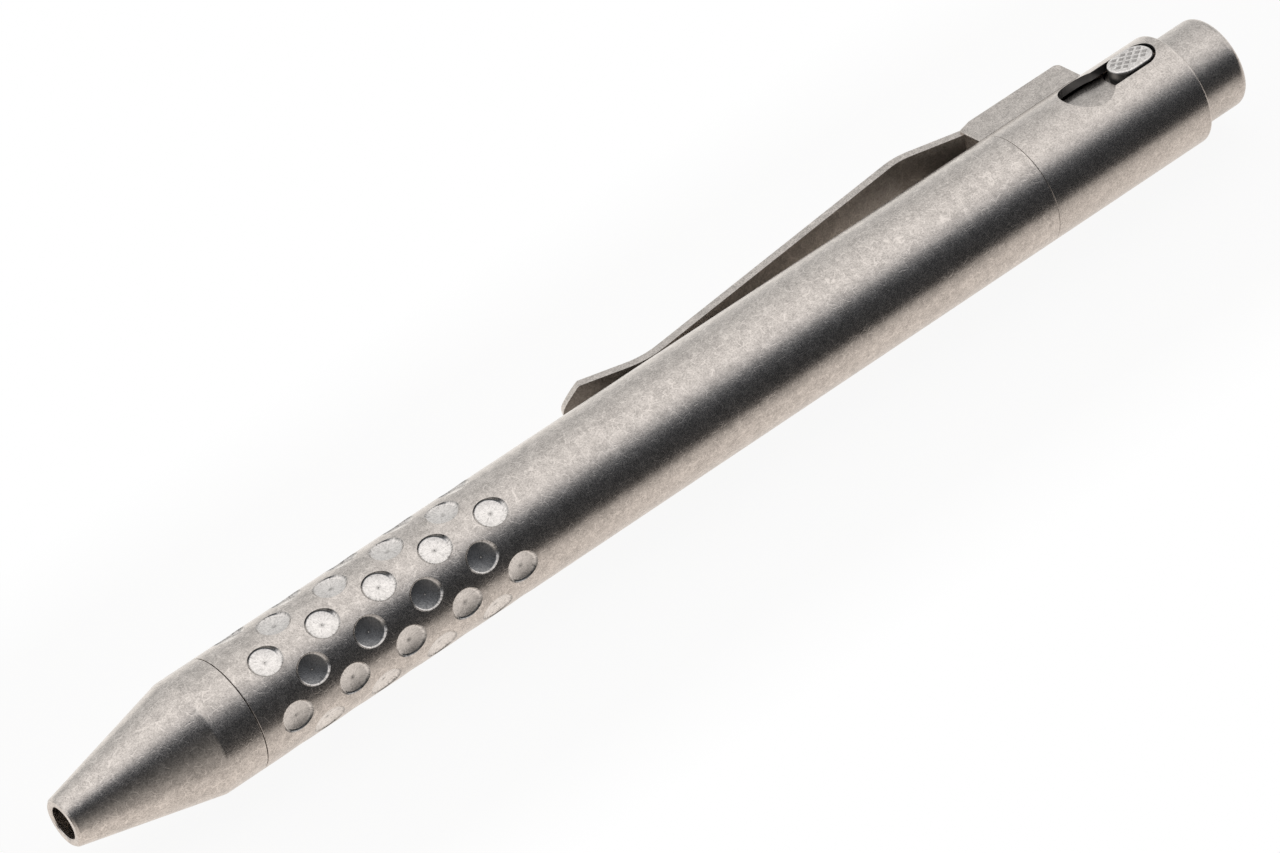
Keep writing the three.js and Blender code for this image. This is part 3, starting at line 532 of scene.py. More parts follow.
nose = {
    "tip": 2.47,
    "tipRound": 0.05,
    "bevel": 2.72,
    "bevelAt": 0.25,
    "bevelRound": 0.15,
    "cone": 15.6,
    "coneRound": 1.5,
    "length": 20.1,
    "grooveFrom": 20.8,
    "grooveTo": 21.9,
    "spigot": 4.3,
    "spigotEnd": 28.0,
    "spigotBevel": 0.3,
    "wideBore": 3.35,
    "springSeat": 8.0,
    "bore": 1.8,
    "boreBevel": 0.12,
}
noseConeLine = [
    (0, nose["bore"] + nose["boreBevel"]),
    (0, nose["tip"], nose["tipRound"]),
    (nose["bevelAt"], nose["bevel"], nose["bevelRound"]),
    (nose["cone"], bodyRadius, nose["coneRound"]),
    (nose["length"] - seamGap, bodyRadius, seamBreak),
    (nose["length"] - seamGap, nose["spigot"]),
    *grooveOf(nose),
    (nose["spigotEnd"] - nose["spigotBevel"], nose["spigot"]),
    (nose["spigotEnd"], nose["spigot"] - nose["spigotBevel"]),
    (nose["spigotEnd"], nose["wideBore"]),
    (nose["springSeat"], nose["wideBore"]),
    (nose["springSeat"], nose["bore"]),
    (nose["boreBevel"], nose["bore"]),
]
noseCone = turnedTube("noseCone", noseConeLine)
layDown(noseCone, "nose_cone", "housing", "tumbled_metal", noseMetal)

# Barrel: a tube with a socket at each end and twelve rows of milled dimples
barrel = {
    "end": 123.0,
    "bore": 3.45,
    "frontSocket": 4.6,
    "frontDepth": 8.2,
    "rearSocket": 4.9,
    "rearDepth": 10.3,
}
dimple = {"rows": 12, "inLongRow": 5, "pitch": 7.03, "first": 4.15, "depth": 0.46, "stretch": 1.08}
dishShape = {
    "ball": 8.5,
    "floor": 1.44,
    "wallRound": 0.34,
    "wallSlope": math.radians(46),
    "pip": 0.07,
    "pipPoint": 0.02,
    "pipDepth": 0.04,
    "overrun": 0.6,
    "steps": 8,
}
barrelTubeLine = [
    (nose["length"] + seamGap, barrel["frontSocket"]),
    (nose["length"] + seamGap, bodyRadius, seamBreak),
    (barrel["end"] - rearSeamGap, bodyRadius, rearSeamBreak),
    (barrel["end"] - rearSeamGap, barrel["rearSocket"]),
    (barrel["end"] - barrel["rearDepth"], barrel["rearSocket"]),
    (barrel["end"] - barrel["rearDepth"], barrel["bore"]),
    (nose["length"] + barrel["frontDepth"], barrel["bore"]),
    (nose["length"] + barrel["frontDepth"], barrel["frontSocket"]),
]
barrelTube = turnedTube("barrelTube", barrelTubeLine, segments=384)


def dishLine():
    # (distance from the pen's axis, radius): the pip, a ball's floor, a rounded corner and a slope
    floor = bodyRadius - dimple["depth"]
    steps = dishShape["steps"]
    line = [(floor - dishShape["pipDepth"], dishShape["pipPoint"]), (floor, dishShape["pip"])]
    for i in range(2, steps + 1):
        r = dishShape["floor"] * i / steps
        line.append((floor + r**2 / (2 * dishShape["ball"]), r))
    edge, edgeRadius = line[-1]
    floorLean = math.asin(dishShape["floor"] / dishShape["ball"])
    for i in range(1, steps + 1):
        slope = floorLean + (dishShape["wallSlope"] - floorLean) * i / steps
        rise = dishShape["wallRound"] * (math.cos(floorLean) - math.cos(slope))
        run = dishShape["wallRound"] * (math.sin(slope) - math.sin(floorLean))
        line.append((edge + rise, edgeRadius + run))
    mouth = bodyRadius + dishShape["overrun"]
    line.append((mouth, line[-1][1] + (mouth - line[-1][0]) / math.tan(dishShape["wallSlope"])))
    return line


dish = turnedBar("dish", dishLine(), segments=64)
dishes = []
for row in range(dimple["rows"]):
    # every other row has one dish less and stands half a step further back
    short = row % 2
    start = nose["length"] + dimple["first"] + short * dimple["pitch"] / 2
    rowTurn = 2 * math.pi * row / dimple["rows"]
    for i in range(dimple["inLongRow"] - short):
        dishes.append(copyTo(dish, upright(start + i * dimple["pitch"], rowTurn)))
bpy.data.objects.remove(dish, do_unlink=True)
carve(barrelTube, join(dishes), finish=1)


def fromDishMiddle(tree):
    # where a spot lies from the middle of the nearest dish, in millimetres, and a number for that dish
    inputs = {"Vector": placeOn(tree), "Location": penOrigin, "Rotation": (lean, 0, 0), "Scale": [mm] * 3}
    place = splitOn(tree, nodeOn(tree, "Mapping", inputs, vector_type="TEXTURE").outputs["Vector"])
    turned = sumOn(tree, "ARCTAN2", sumOn(tree, "MULTIPLY", place["Y"], -1), place["Z"])
    rows = sumOn(tree, "MULTIPLY", turned, dimple["rows"] / (2 * math.pi))
    row = sumOn(tree, "ROUND", rows)
    # the barrel's curve narrows a dish across the pen, so that way counts for a little more
    wider = dimple["stretch"] * 2 * math.pi * bodyRadius / dimple["rows"]
    across = sumOn(tree, "MULTIPLY", sumOn(tree, "SUBTRACT", rows, row), wider)
    back = sumOn(tree, "SUBTRACT", place["X"], nose["length"] + dimple["first"])
    half = sumOn(tree, "MULTIPLY", sumOn(tree, "PINGPONG", row, 1), 0.5)
    steps = sumOn(tree, "SUBTRACT", sumOn(tree, "DIVIDE", back, dimple["pitch"]), half)
    step = sumOn(tree, "ROUND", steps)
    along = sumOn(tree, "MULTIPLY", sumOn(tree, "SUBTRACT", steps, step), dimple["pitch"])
    cell = sumOn(tree, "MULTIPLY", step, milled["dishSeed"])
    return along, across, sumOn(tree, "MULTIPLY_ADD", row, milled["rowSeed"], cell)


dishMetal = milledTitanium("milledTitaniumDish", (0.55, 0.522, 0.495), 8, 0.24, fromDishMiddle)
layDown(barrelTube, "barrel", "housing", "tumbled_metal", barrelMetal, dishMetal, smooth=20)
print("nose and barrel made")

# Rear tube: spigot, wide bore, keyhole and the two counterbored holes of the clip's screws
rear = {
    "front": 113.0,
    "frontBevel": 0.3,
    "grooveFrom": 121.2,
    "grooveTo": 122.3,
    "web": 1,
    "end": 144.2,
    "endRound": 0.35,
    "bore": 5.45,
    "boreRound": 0.15,
    "spigot": 4.6,
    "rodBore": 3.75,
    "screwAt": (126.3, 132.5),
}
keyhole = {
    "pocketAt": 133.94,
    "pocketRadius": 3.03,
    "slotHalf": 2.04,
    "slotEndAt": 140.88,
    "cutFrom": 3,
    "cutTo": 8,
}
screwHole = {"from": 4.45, "head": 1.6, "floor": 5.95, "shank": 0.8, "to": 7.35}
rearTubeLine = [
    (rear["front"], rear["rodBore"]),
    (rear["front"], rear["spigot"] - rear["frontBevel"]),
    (rear["front"] + rear["frontBevel"], rear["spigot"]),
    *grooveOf(rear),
    (barrel["end"] + rearSeamGap, rear["spigot"]),
    (barrel["end"] + rearSeamGap, bodyRadius, rearSeamBreak),
    (rear["end"], bodyRadius, rear["endRound"]),
    (rear["end"], rear["bore"], rear["boreRound"]),
    (barrel["end"] + rear["web"], rear["bore"]),
    (barrel["end"] + rear["web"], rear["rodBore"]),
]
rearTube = turnedTube("rearTube", rearTubeLine, segments=384)
# the keyhole's walls take the dark finish of painted shade
for name, at, radius, segments in (
    ("pocketCut", keyhole["pocketAt"], keyhole["pocketRadius"], 128),
    ("slotEndCut", keyhole["slotEndAt"], keyhole["slotHalf"], 96),
):
    cut = cylinder(name, keyhole["cutFrom"], keyhole["cutTo"], radius, segments)
    carve(rearTube, standUp(cut, at, towardsButton), finish=1)
slotCut = box(
    (keyhole["pocketAt"], keyhole["slotEndAt"]),
    (-keyhole["cutTo"], -keyhole["cutFrom"]),
    (-keyhole["slotHalf"], keyhole["slotHalf"]),
)
carve(rearTube, slotCut, finish=1)
screwHoleLine = [
    (screwHole["from"], screwHole["head"]),
    (screwHole["floor"], screwHole["head"]),
    (screwHole["floor"], screwHole["shank"]),
    (screwHole["to"], screwHole["shank"]),
]
for at in rear["screwAt"]:
    carve(rearTube, standUp(turnedBar("counterbore", screwHoleLine, 48), at, towardsClip))
layDown(rearTube, "cap_housing", "housing", "tumbled_metal", rearMetal, paintedShadeWallMetal, smooth=25)
print("rear tube made")

# Pocket clip: one milled piece, a saddle block with a springy arm
block = {
    "front": 122.4,
    "rear": 136.35,
    "half": lay["blockHalf"],
    "top": lay["blockTop"],
    "edgeRound": lay["blockEdge"],
    "footHalf": 5.05,
    "footTop": 4.95,
    "flareFrom": 3.175,
    "flareSteps": 6,
    "frontDrop": 0.5,
    "ramp": 1.7,
    "rearRound": 0.7,
    "saddleGap": 0.02,
}
clipHole = {"from": 5, "radius": 0.75, "to": 7.25}


def roundSharp(angle, radius, segments):
    # all edges sharper than the angle, of the piece that is being edited
    bpy.ops.mesh.select_mode(type="EDGE")
    bpy.ops.mesh.select_all(action="DESELECT")
    bpy.ops.mesh.edges_select_sharp(sharpness=math.radians(angle))
    bpy.ops.mesh.bevel(offset=radius, segments=segments, affect="EDGES", clamp_overlap=True)


clip = box((block["front"], block["rear"]), (-block["half"], block["half"]), (0, block["top"]))
clip.name = "pocketClip"
startEditing(clip)
flareRise = block["footTop"] - block["flareFrom"]
flareSteps = range(block["flareSteps"] + 1)
footLevels = [block["flareFrom"] + flareRise * i / block["flareSteps"] for i in flareSteps]
for level in footLevels:
    bpy.ops.mesh.select_all(action="SELECT")
    bpy.ops.mesh.bisect(plane_co=(0, 0, level), plane_no=(0, 0, 1))
bpy.ops.mesh.select_all(action="SELECT")
bpy.ops.mesh.bisect(plane_co=(block["front"] + block["ramp"], 0, 0), plane_no=(1, 0, 0))
for i, level in enumerate(footLevels):
    # the foot flares out in a soft curve
    flare = (block["footHalf"] - block["half"]) * (1 - i / block["flareSteps"]) ** 2
    pickEdges(clip, lambda co: abs(co.z - level) < near)
    bpy.ops.transform.resize(value=(1, 1 + flare / block["half"], 1), center_override=(0, 0, 0))
pickEdges(clip, lambda co: co.z < near)
bpy.ops.transform.resize(value=(1, block["footHalf"] / block["half"], 1), center_override=(0, 0, 0))
pickEdges(clip, lambda co: co.z > block["top"] - near and co.x < block["front"] + near)
bpy.ops.transform.translate(value=(0, 0, -block["frontDrop"]))
pickEdges(clip, lambda co: co.z > block["top"] - near and co.x > block["rear"] - near)
bpy.ops.mesh.bevel(offset=block["rearRound"], segments=8, affect="EDGES")
roundSharp(40, block["edgeRound"], 4)
stopEditing()

arm = {
    "thickness": 1.0,
    "rootHalf": 4.6,
    "contactHalf": 3.15,
    "contactFromBlock": 43.1,
    "contactGap": 0.03,
    "contactRadius": 8,
    "hump": 6.6,
    "humpRadius": 6,
    "rise": math.radians(5),
    "flare": math.radians(23.5),
    "root": math.radians(21.5),
    "sink": 1.2,
    "stub": 0.01,
    "edgeRound": 0.12,
}
# the end is rounded off in plan: (place along the pen, half width)
armEnd = [
    (72.7, 2.93),
    (72.5, 2.8),
    (72.3, 2.6),
    (71.9, 2.2),
    (71.37, 1.62),
    (70.93, 1.1),
    (70.62, 0.62),
    (70.5, 0.2),
]


def armLine():
    # the arm's middle from its root in the block to its curled end, as (place along the pen, height)
    rise, flare, root = arm["rise"], arm["flare"], arm["root"]
    contactX = block["front"] - arm["contactFromBlock"]
    lift = arm["contactRadius"] * (1 - math.cos((rise - flare) / 2) / math.cos((rise + flare) / 2))
    contactZ = bodyRadius + arm["contactGap"] + arm["thickness"] / 2 + lift
    humpX = block["front"] - arm["hump"]
    humpZ = contactZ + math.tan(rise) * (humpX - contactX)
    rootX = block["front"] + arm["sink"]
    corners = [
        (rootX, humpZ - math.tan(root) * (rootX - humpX)),
        (humpX, humpZ, arm["humpRadius"]),
        (contactX, contactZ, arm["contactRadius"]),
        (armEnd[0][0], contactZ + math.tan(flare) * (contactX - armEnd[0][0])),
    ]
    line = [(p.x, p.y) for p in eased(corners, 12)]
    for x, _ in armEnd[1:]:
        line.append((x, contactZ + math.tan(flare) * (contactX - x)))
    return line


def armHalf(x):
    for place, half in armEnd:
        if abs(x - place) < near:
            return half
    taper = arm["rootHalf"] - arm["contactHalf"]
    return arm["rootHalf"] - (block["front"] - x) * taper / arm["contactFromBlock"]


line = armLine()
x, z = line[0]
half = armHalf(x)
slope = math.atan2(line[1][1] - z, x - line[1][0])
clipArm = box((x - arm["stub"], x), (-half, half), (z - arm["thickness"] / 2, z + arm["thickness"] / 2))
startEditing(clipArm)
bpy.ops.transform.rotate(value=-slope, orient_axis="Y", center_override=(x, 0, z))
bpy.ops.mesh.select_all(action="DESELECT")
bpy.ops.object.mode_set(mode="OBJECT")
for face in clipArm.data.polygons:
    # the face towards the tip is drawn out along the line
    face.select = face.normal.x < -0.7
bpy.ops.object.mode_set(mode="EDIT")
bpy.ops.mesh.select_mode(type="FACE")
x, z = x - arm["stub"] * math.cos(slope), z + arm["stub"] * math.sin(slope)
for i in range(1, len(line)):
    nextX, nextZ = line[i]
    bpy.ops.mesh.extrude_region_move(TRANSFORM_OT_translate={"value": (nextX - x, 0, nextZ - z)})
    behind = math.atan2(nextZ - z, x - nextX)
    ahead = math.atan2(line[i + 1][1] - nextZ, nextX - line[i + 1][0]) if i + 1 < len(line) else behind
    nextSlope = (ahead + behind) / 2
    bpy.ops.transform.rotate(value=slope - nextSlope, orient_axis="Y", center_override=(nextX, 0, nextZ))
    bpy.ops.transform.resize(value=(1, armHalf(nextX) / half, 1))
    x, z, half, slope = nextX, nextZ, armHalf(nextX), nextSlope
roundSharp(50, arm["edgeRound"], 3)
stopEditing()
carve(clip, clipArm, "UNION")
saddleRadius = bodyRadius + block["saddleGap"]
carve(clip, cylinder("saddle", block["front"] - overrun, block["rear"] + overrun, saddleRadius, 384))
for at in rear["screwAt"]:
    drill = cylinder("drill", clipHole["from"], clipHole["to"], clipHole["radius"], 48)
    carve(clip, standUp(drill, at, towardsClip))
for face in clip.data.polygons:
    # what looks down from the arm, in front of the block, takes the darker finish with painted shade
    if face.normal.z < -0.5 and face.center.x < block["front"] - 0.1:
        face.material_index = 1
layDown(clip, "pocket_clip", "housing", "tumbled_metal", clipMetal, paintedShadeUnderArmMetal, smooth=25)

screw = {
    "head": 1.5,
    "headRound": 0.08,
    "headHeight": 0.45,
    "shank": 0.7,
    "shankLength": 1.3,
    "shankBevel": 0.1,
    "socket": 0.65,
    "socketDepth": 0.25,
}
screwBottom = rear["bore"]
screwShoulder = screwBottom + screw["headHeight"]
screwLine = [
    (screwBottom, screw["head"], screw["headRound"]),
    (screwShoulder, screw["head"]),
    (screwShoulder, screw["shank"]),
    (screwShoulder + screw["shankLength"] - screw["shankBevel"], screw["shank"]),
    (screwShoulder + screw["shankLength"], screw["shank"] - screw["shankBevel"]),
]
screwSocketFloor = screwBottom + screw["socketDepth"]
for at, name, node in (
    (rear["screwAt"][0], "clipScrewFront", "clip_screw_front"),
    (rear["screwAt"][1], "clipScrewRear", "clip_screw_rear"),
):
    clipScrew = turnedBar(name, screwLine, 64)
    carve(clipScrew, cylinder("socket", screwBottom - overrun, screwSocketFloor, screw["socket"], 6))
    layDown(standUp(clipScrew, at, towardsClip), node, "housing", "screw_steel", screwSteel)
print("clip made")

# Seals: two O-rings in the spigots' grooves
seal = {"section": 0.38, "sunk": 0.125, "steps": 16}
for name, node, piece in (("noseSeal", "nose_o_ring", nose), ("rearSeal", "cap_o_ring", rear)):
    at = (piece["grooveFrom"] + piece["grooveTo"]) / 2
    middle = piece["spigot"] - seal["sunk"]
    angles = [2 * math.pi * i / seal["steps"] for i in range(seal["steps"])]
    ringLine = [(at + seal["section"] * math.cos(a), middle + seal["section"] * math.sin(a)) for a in angles]
    layDown(turnedTube(name, ringLine, 128), node, "housing", "seal_rubber", sealRubber, smooth=60)

# Plunger: the thumb end, the button's well and the push rod's socket
plunger = {
    "front": 130.29,
    "frontRound": 0.3,
    "end": 150.4,
    "endRound": 0.9,
    "radius": 5.15,
    "wellAt": 139.84,
    "wellRadius": 3.0,
    "wellFloor": 0.9,
    "rodSocket": 1.9,
    "rodSocketDepth": 5.7,
}
atWell = Matrix.Translation((plunger["wellAt"], 0, 0)) @ Matrix.Rotation(towardsButton, 4, "X")
thumbPieceLine = [
    (plunger["front"], plunger["radius"], plunger["frontRound"]),
    (plunger["end"], plunger["radius"], plunger["endRound"]),
]
thumbPiece = turnedBar("thumbPiece", thumbPieceLine, steps=8)
well = cylinder("well", plunger["wellFloor"], keyhole["cutTo"], plunger["wellRadius"], 128)
# the well's walls take the dark finish of painted shade
carve(thumbPiece, standUp(well, plunger["wellAt"], towardsButton), finish=1)
socketFloor = plunger["front"] + plunger["rodSocketDepth"]
carve(thumbPiece, cylinder("rodSocket", plunger["front"] - overrun, socketFloor, plunger["rodSocket"], 64))
layDown(thumbPiece, "plunger", "plunger", "tumbled_metal", plungerMetal, paintedShadeWallMetal)

rod = {"front": 113.69, "frontRound": 0.3, "radius": 3.4, "pin": 1.6, "pinLength": 5.4, "pinRound": 0.2}
pushRodLine = [
    (rod["front"], rod["radius"], rod["frontRound"]),
    (plunger["front"], rod["radius"]),
    (plunger["front"], rod["pin"]),
    (plunger["front"] + rod["pinLength"], rod["pin"], rod["pinRound"]),
]
pushRod = turnedBar("pushRod", pushRodLine, 128)
layDown(pushRod, "push_rod", "plunger", "tumbled_metal", rodMetal)

# Lock button: a round flange under an oblong head with a crossed knurl
button = {
    "flange": 2.85,
    "flangeRound": 0.1,
    "flangeBottom": 3.109,
    "flangeTop": 4.409,
    "halfLength": 2.64,
    "halfWidth": 1.8,
    "root": 0.5,
    "top": 6.35,
    "edgeRound": 0.28,
    "segments": 96,
    "recess": 1.5,
    "recessDepth": 0.9,
    "headShift": 0.12,  # the head stands a little nearer to the slot's end than its flange
}
# the knurl: rows of lozenge pits between raised lines
knurl = {
    "along": 0.6,
    "across": 0.46,
    "shiftAlong": -0.59,
    "shiftAcross": -0.29,
    "rows": 4,
    "inRow": 5,
    "halfAlong": 0.41,
    "halfAcross": 0.31,
    "depth": 0.16,
    "point": 0.04,
    "mouth": 1.1,
    "overrun": 0.02,
    "border": 0.62,
}

headRoot = (0, 0, button["flangeTop"] - button["root"])
halfStep = (0, 0, math.pi / button["segments"])
head = circle("lockButton", button["segments"], button["halfWidth"], headRoot, halfStep, "NGON")
startEditing(head)
reach = button["halfLength"] - button["halfWidth"]
for side in (-1, 1):
    # the circle is pulled apart into an oblong
    pickEdges(head, lambda co: co.x * side > 0)
    bpy.ops.transform.translate(value=(side * reach, 0, 0))
bpy.ops.mesh.select_all(action="SELECT")
headHeight = button["top"] - button["flangeTop"] + button["root"]
bpy.ops.mesh.extrude_region_move(TRANSFORM_OT_translate={"value": (0, 0, headHeight)})
pickEdges(head, lambda co: co.z > button["top"] - near)
bpy.ops.mesh.bevel(offset=button["edgeRound"], segments=5, affect="EDGES")
stopEditing()

lozengeLine = [
    (button["top"] - knurl["depth"], knurl["point"]),
    (button["top"] + knurl["overrun"], knurl["mouth"]),
]
lozenge = standUp(turnedBar("lozenge", lozengeLine, 4), 0, towardsClip)
pitSize = Matrix.Diagonal((knurl["halfAlong"], knurl["halfAcross"], 1, 1))
pits = []
for row in range(-knurl["rows"], knurl["rows"] + 1):
    for i in range(-knurl["inRow"], knurl["inRow"] + 1):
        x = (2 * i + row % 2) * knurl["along"] + knurl["shiftAlong"]
        y = row * knurl["across"] + knurl["shiftAcross"]
        past = max(abs(x) - reach, 0)
        if math.hypot(past, y) < button["halfWidth"] - knurl["border"]:
            pits.append(copyTo(lozenge, Matrix.Translation((x, y, 0)) @ pitSize))
bpy.data.objects.remove(lozenge, do_unlink=True)
# the pits take the finish with painted shade
carve(head, join(pits), finish=1)
head.location.x = button["headShift"]
applyPlace(head)
flangeLine = [
    (button["flangeBottom"], button["flange"], button["flangeRound"]),
    (button["flangeTop"], button["flange"], button["flangeRound"]),
]
carve(head, standUp(turnedBar("flange", flangeLine, 128), 0, towardsClip), "UNION")
recessFloor = button["flangeBottom"] + button["recessDepth"]
recess = cylinder("recess", button["flangeBottom"] - overrun, recessFloor, button["recess"], 96)
carve(head, standUp(recess, 0, towardsClip))
for face in head.data.polygons:
    # all that stands steeper than the head's rounded edge is flank, and takes the finish with painted shade
    if abs(face.normal.z) < 0.55:
        face.material_index = 2
head.matrix_world = atWell
applyPlace(head)
layDown(head, "lock_button", "button", "button_metal", buttonMetal, paintedShadePitMetal, paintedShadeFlankMetal)
print("plunger and button made")


# Springs
def woundSpring(name, shape, place):
    # a wire's section is screwed up along Z, from the spring's seat to its top
    start = (shape["coil"], 0, shape["seat"] + shape["wire"])
    spring = circle(name, 12, shape["wire"], start, (math.pi / 2, 0, 0))
    steps = int(40 * shape["turns"])
    applyModifier(
        spring,
        "SCREW",
        axis="Z",
        screw_offset=shape["top"] - shape["seat"] - 2 * shape["wire"],
        angle=2 * math.pi * shape["turns"],
        steps=steps,
        render_steps=steps,
        iterations=1,
        use_merge_vertices=False,
    )
    startEditing(spring)
    bpy.ops.mesh.select_mode(type="EDGE")
    bpy.ops.mesh.select_all(action="DESELECT")
    bpy.ops.mesh.select_non_manifold()
    bpy.ops.mesh.edge_face_add()
    stopEditing()
    spring.matrix_world = place
    applyPlace(spring)
    return spring


returnShape = {"coil": 2.65, "wire": 0.25, "turns": 10, "seat": 8.05, "top": 27.95, "travel": 5.9}
returnSpring = woundSpring("returnSpring", returnShape, Matrix.Rotation(math.pi / 2, 4, "Y"))
layDown(returnSpring, "return_spring", "housing", "spring_steel", springSteel, smooth=60)
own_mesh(returnSpring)

buttonShape = {"coil": 1.1, "wire": 0.15, "turns": 3.5, "seat": 0.95, "top": 3.959, "travel": 0.8}
buttonSpring = woundSpring("buttonSpring", buttonShape, atWell)
layDown(buttonSpring, "lock_button_spring", "plunger", "spring_steel", springSteel, smooth=60)
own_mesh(buttonSpring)
print("springs wound")

# Refill
refill = {
    "start": 2.6,
    "ball": 0.35,
    "ballSteps": 24,
    "pointFrom": 2.85,
    "pointMouth": 0.44,
    "pointRim": 0.55,
    "pointWideFrom": 5.45,
    "point": 1.15,
    "pointRound": 0.3,
    "slimFrom": 8.2,
    "slim": 1.55,
    "neckFrom": 14.4,
    "neck": 2.2,
    "noseRound": 0.2,
    "collarFrom": 28.0,
    "collarRound": 0.1,
    "tubeFrom": 29.0,
    "tube": 3.05,
    "tubeRound": 0.06,
    "tubeBore": 2.55,
    "inner": 2.4,
    "noseEnd": 33.0,
    "inkEnd": 95.39,
    "greaseEnd": 99.39,
    "greaseRound": 0.3,
    "plugFrom": 107.99,
    "plugRound": 0.2,
    "vent": 0.45,
    "tubeTo": 111.99,
    "end": 113.59,
}
ballMiddle = refill["start"] + refill["ball"]
ballAngles = [math.pi * i / refill["ballSteps"] for i in range(1, refill["ballSteps"])]
ballLine = [(ballMiddle - refill["ball"] * math.cos(a), refill["ball"] * math.sin(a)) for a in ballAngles]
writingBall = turnedBar("writingBall", ballLine, 48)
layDown(writingBall, "refill_ball", "refill", "point_metal", springSteel, smooth=60)

pointLine = [
    (refill["pointFrom"], refill["pointMouth"]),
    (refill["pointFrom"], refill["pointRim"]),
    (refill["pointWideFrom"], refill["point"], refill["pointRound"]),
    (refill["slimFrom"], refill["point"]),
]
point = turnedBar("refillPoint", pointLine, 96)
ballSeat = {"from": 2.5, "mouth": 0.485, "narrowFrom": 3.3, "narrow": 0.4, "to": 3.45, "floor": 0.2}
seatLine = [
    (ballSeat["from"], ballSeat["mouth"]),
    (refill["pointFrom"], ballSeat["mouth"]),
    (ballSeat["narrowFrom"], ballSeat["narrow"]),
    (ballSeat["to"], ballSeat["floor"]),
]
seat = turnedBar("ballSeat", seatLine, 48)
carve(point, seat)
layDown(point, "refill_point", "refill", "point_metal", pointBrass)

refillNoseLine = [
    (refill["slimFrom"], refill["slim"], refill["noseRound"]),
    (refill["neckFrom"], refill["slim"]),
    (refill["neckFrom"], refill["neck"], refill["noseRound"]),
    (refill["collarFrom"], refill["neck"]),
    (refill["collarFrom"], refill["tube"], refill["collarRound"]),
    (refill["tubeFrom"], refill["tube"]),
    (refill["tubeFrom"], refill["inner"]),
    (refill["noseEnd"], refill["inner"], refill["noseRound"]),
]
refillNose = turnedBar("refillNose", refillNoseLine, 96)
layDown(refillNose, "refill_nose", "refill", "refill_black", blackPlastic)
tubeLine = [
    (refill["tubeFrom"], refill["tubeBore"]),
    (refill["tubeFrom"], refill["tube"], refill["tubeRound"]),
    (refill["tubeTo"], refill["tube"], refill["tubeRound"]),
    (refill["tubeTo"], refill["tubeBore"]),
]
tube = turnedTube("refillTube", tubeLine, 96)
layDown(tube, "refill_tube", "refill", "refill_clear", tubePlastic)
endPlugLine = [
    (refill["plugFrom"], refill["vent"]),
    (refill["plugFrom"], refill["inner"], refill["plugRound"]),
    (refill["tubeTo"], refill["inner"]),
    (refill["tubeTo"], refill["tube"], refill["collarRound"]),
    (refill["end"], refill["tube"], refill["plugRound"]),
    (refill["end"], refill["vent"]),
]
endPlug = turnedTube("refillEndPlug", endPlugLine, 96)
layDown(endPlug, "refill_end_plug", "refill", "refill_black", blackPlastic)
ink = cylinder("inkColumn", refill["noseEnd"], refill["inkEnd"], refill["inner"], 96)
layDown(ink, "ink_column", "refill", "ink", inkGel)
greaseLine = [
    (refill["inkEnd"], refill["inner"]),
    (refill["greaseEnd"], refill["inner"], refill["greaseRound"]),
]
layDown(turnedBar("inkFollower", greaseLine, 96), "ink_follower", "refill", "grease", followerGrease)
print("refill made")

# Table: a white sheet, in metres from the pen's middle on the table
selectOnly()
sheet = {
    "near": -0.036,
    "far": 0.12,
    "ends": 0.16,
    "fade": 0.012,
    "drop": 0.0002,
    "paper": (0.87, 0.84, 0.81, 1),
    "roughness": 0.9,
    "shadowShare": 0.08,
    "glowShare": 0.8,
}
white = (1, 1, 1, 1)
bpy.ops.mesh.primitive_plane_add(size=1, location=(0, (sheet["near"] + sheet["far"]) / 2, -sheet["drop"]))
table = bpy.context.object
table.name = "whiteSheet"
table.scale = (2 * sheet["ends"], sheet["far"] - sheet["near"], 1)
applyPlace(table)
paper, tree, shader = startMaterial("whitePaper")
shader.inputs["Base Color"].default_value = sheet["paper"]
shader.inputs["Roughness"].default_value = sheet["roughness"]
rays = tree.nodes.new("ShaderNodeLightPath").outputs
# the paper's own colour keeps the pen's shadow, and fades out towards the sheet's edges
corner = splitOn(tree, placeOn(tree))
insides = []
for name, edge in (("X", sheet["ends"]), ("Y", -sheet["near"])):
    left = sumOn(tree, "SUBTRACT", edge, sumOn(tree, "ABSOLUTE", corner[name]))
    insides.append(sumOn(tree, "DIVIDE", left, sheet["fade"], clamp=True))
own = sumOn(tree, "MULTIPLY", sumOn(tree, "MULTIPLY", *insides), sheet["shadowShare"])
seenWhite = sumOn(tree, "MULTIPLY", rays["Is Camera Ray"], sumOn(tree, "SUBTRACT", 1, own))
mirrored = sumOn(tree, "ADD", rays["Is Glossy Ray"], rays["Is Transmission Ray"])
blend = tree.nodes.new("ShaderNodeMixShader")
tree.links.new(sumOn(tree, "MULTIPLY_ADD", mirrored, sheet["glowShare"], seenWhite), blend.inputs["Fac"])
tree.links.new(shader.outputs["BSDF"], blend.inputs[1])
# what the metal mirrors of the paper: dark at the near edge, warm under the pen, bright behind it;
# (millimetres behind the pen, red, green, blue)
sheetLight = (
    (-38, 0.14, 0.132, 0.127),
    (-27, 0.54, 0.51, 0.486),
    (-14, 1.0, 0.945, 0.905),
    (-5, 1.12, 1.06, 1.01),
    (8, 1.15, 1.11, 1.075),
    (18, 1.32, 1.3, 1.28),
    (28, 1.24, 1.225, 1.2),
    (42, 1.13, 1.125, 1.1),
)
nearest, furthest = sheetLight[0][0], sheetLight[-1][0]
fromNearest = sumOn(tree, "SUBTRACT", corner["Y"], nearest * mm)
tones = rampOn(tree, sumOn(tree, "DIVIDE", fromNearest, (furthest - nearest) * mm), sheetLight)
glow = tree.nodes.new("ShaderNodeEmission")
tree.links.new(mixOn(tree, rays["Is Camera Ray"], tones, white), glow.inputs["Color"])
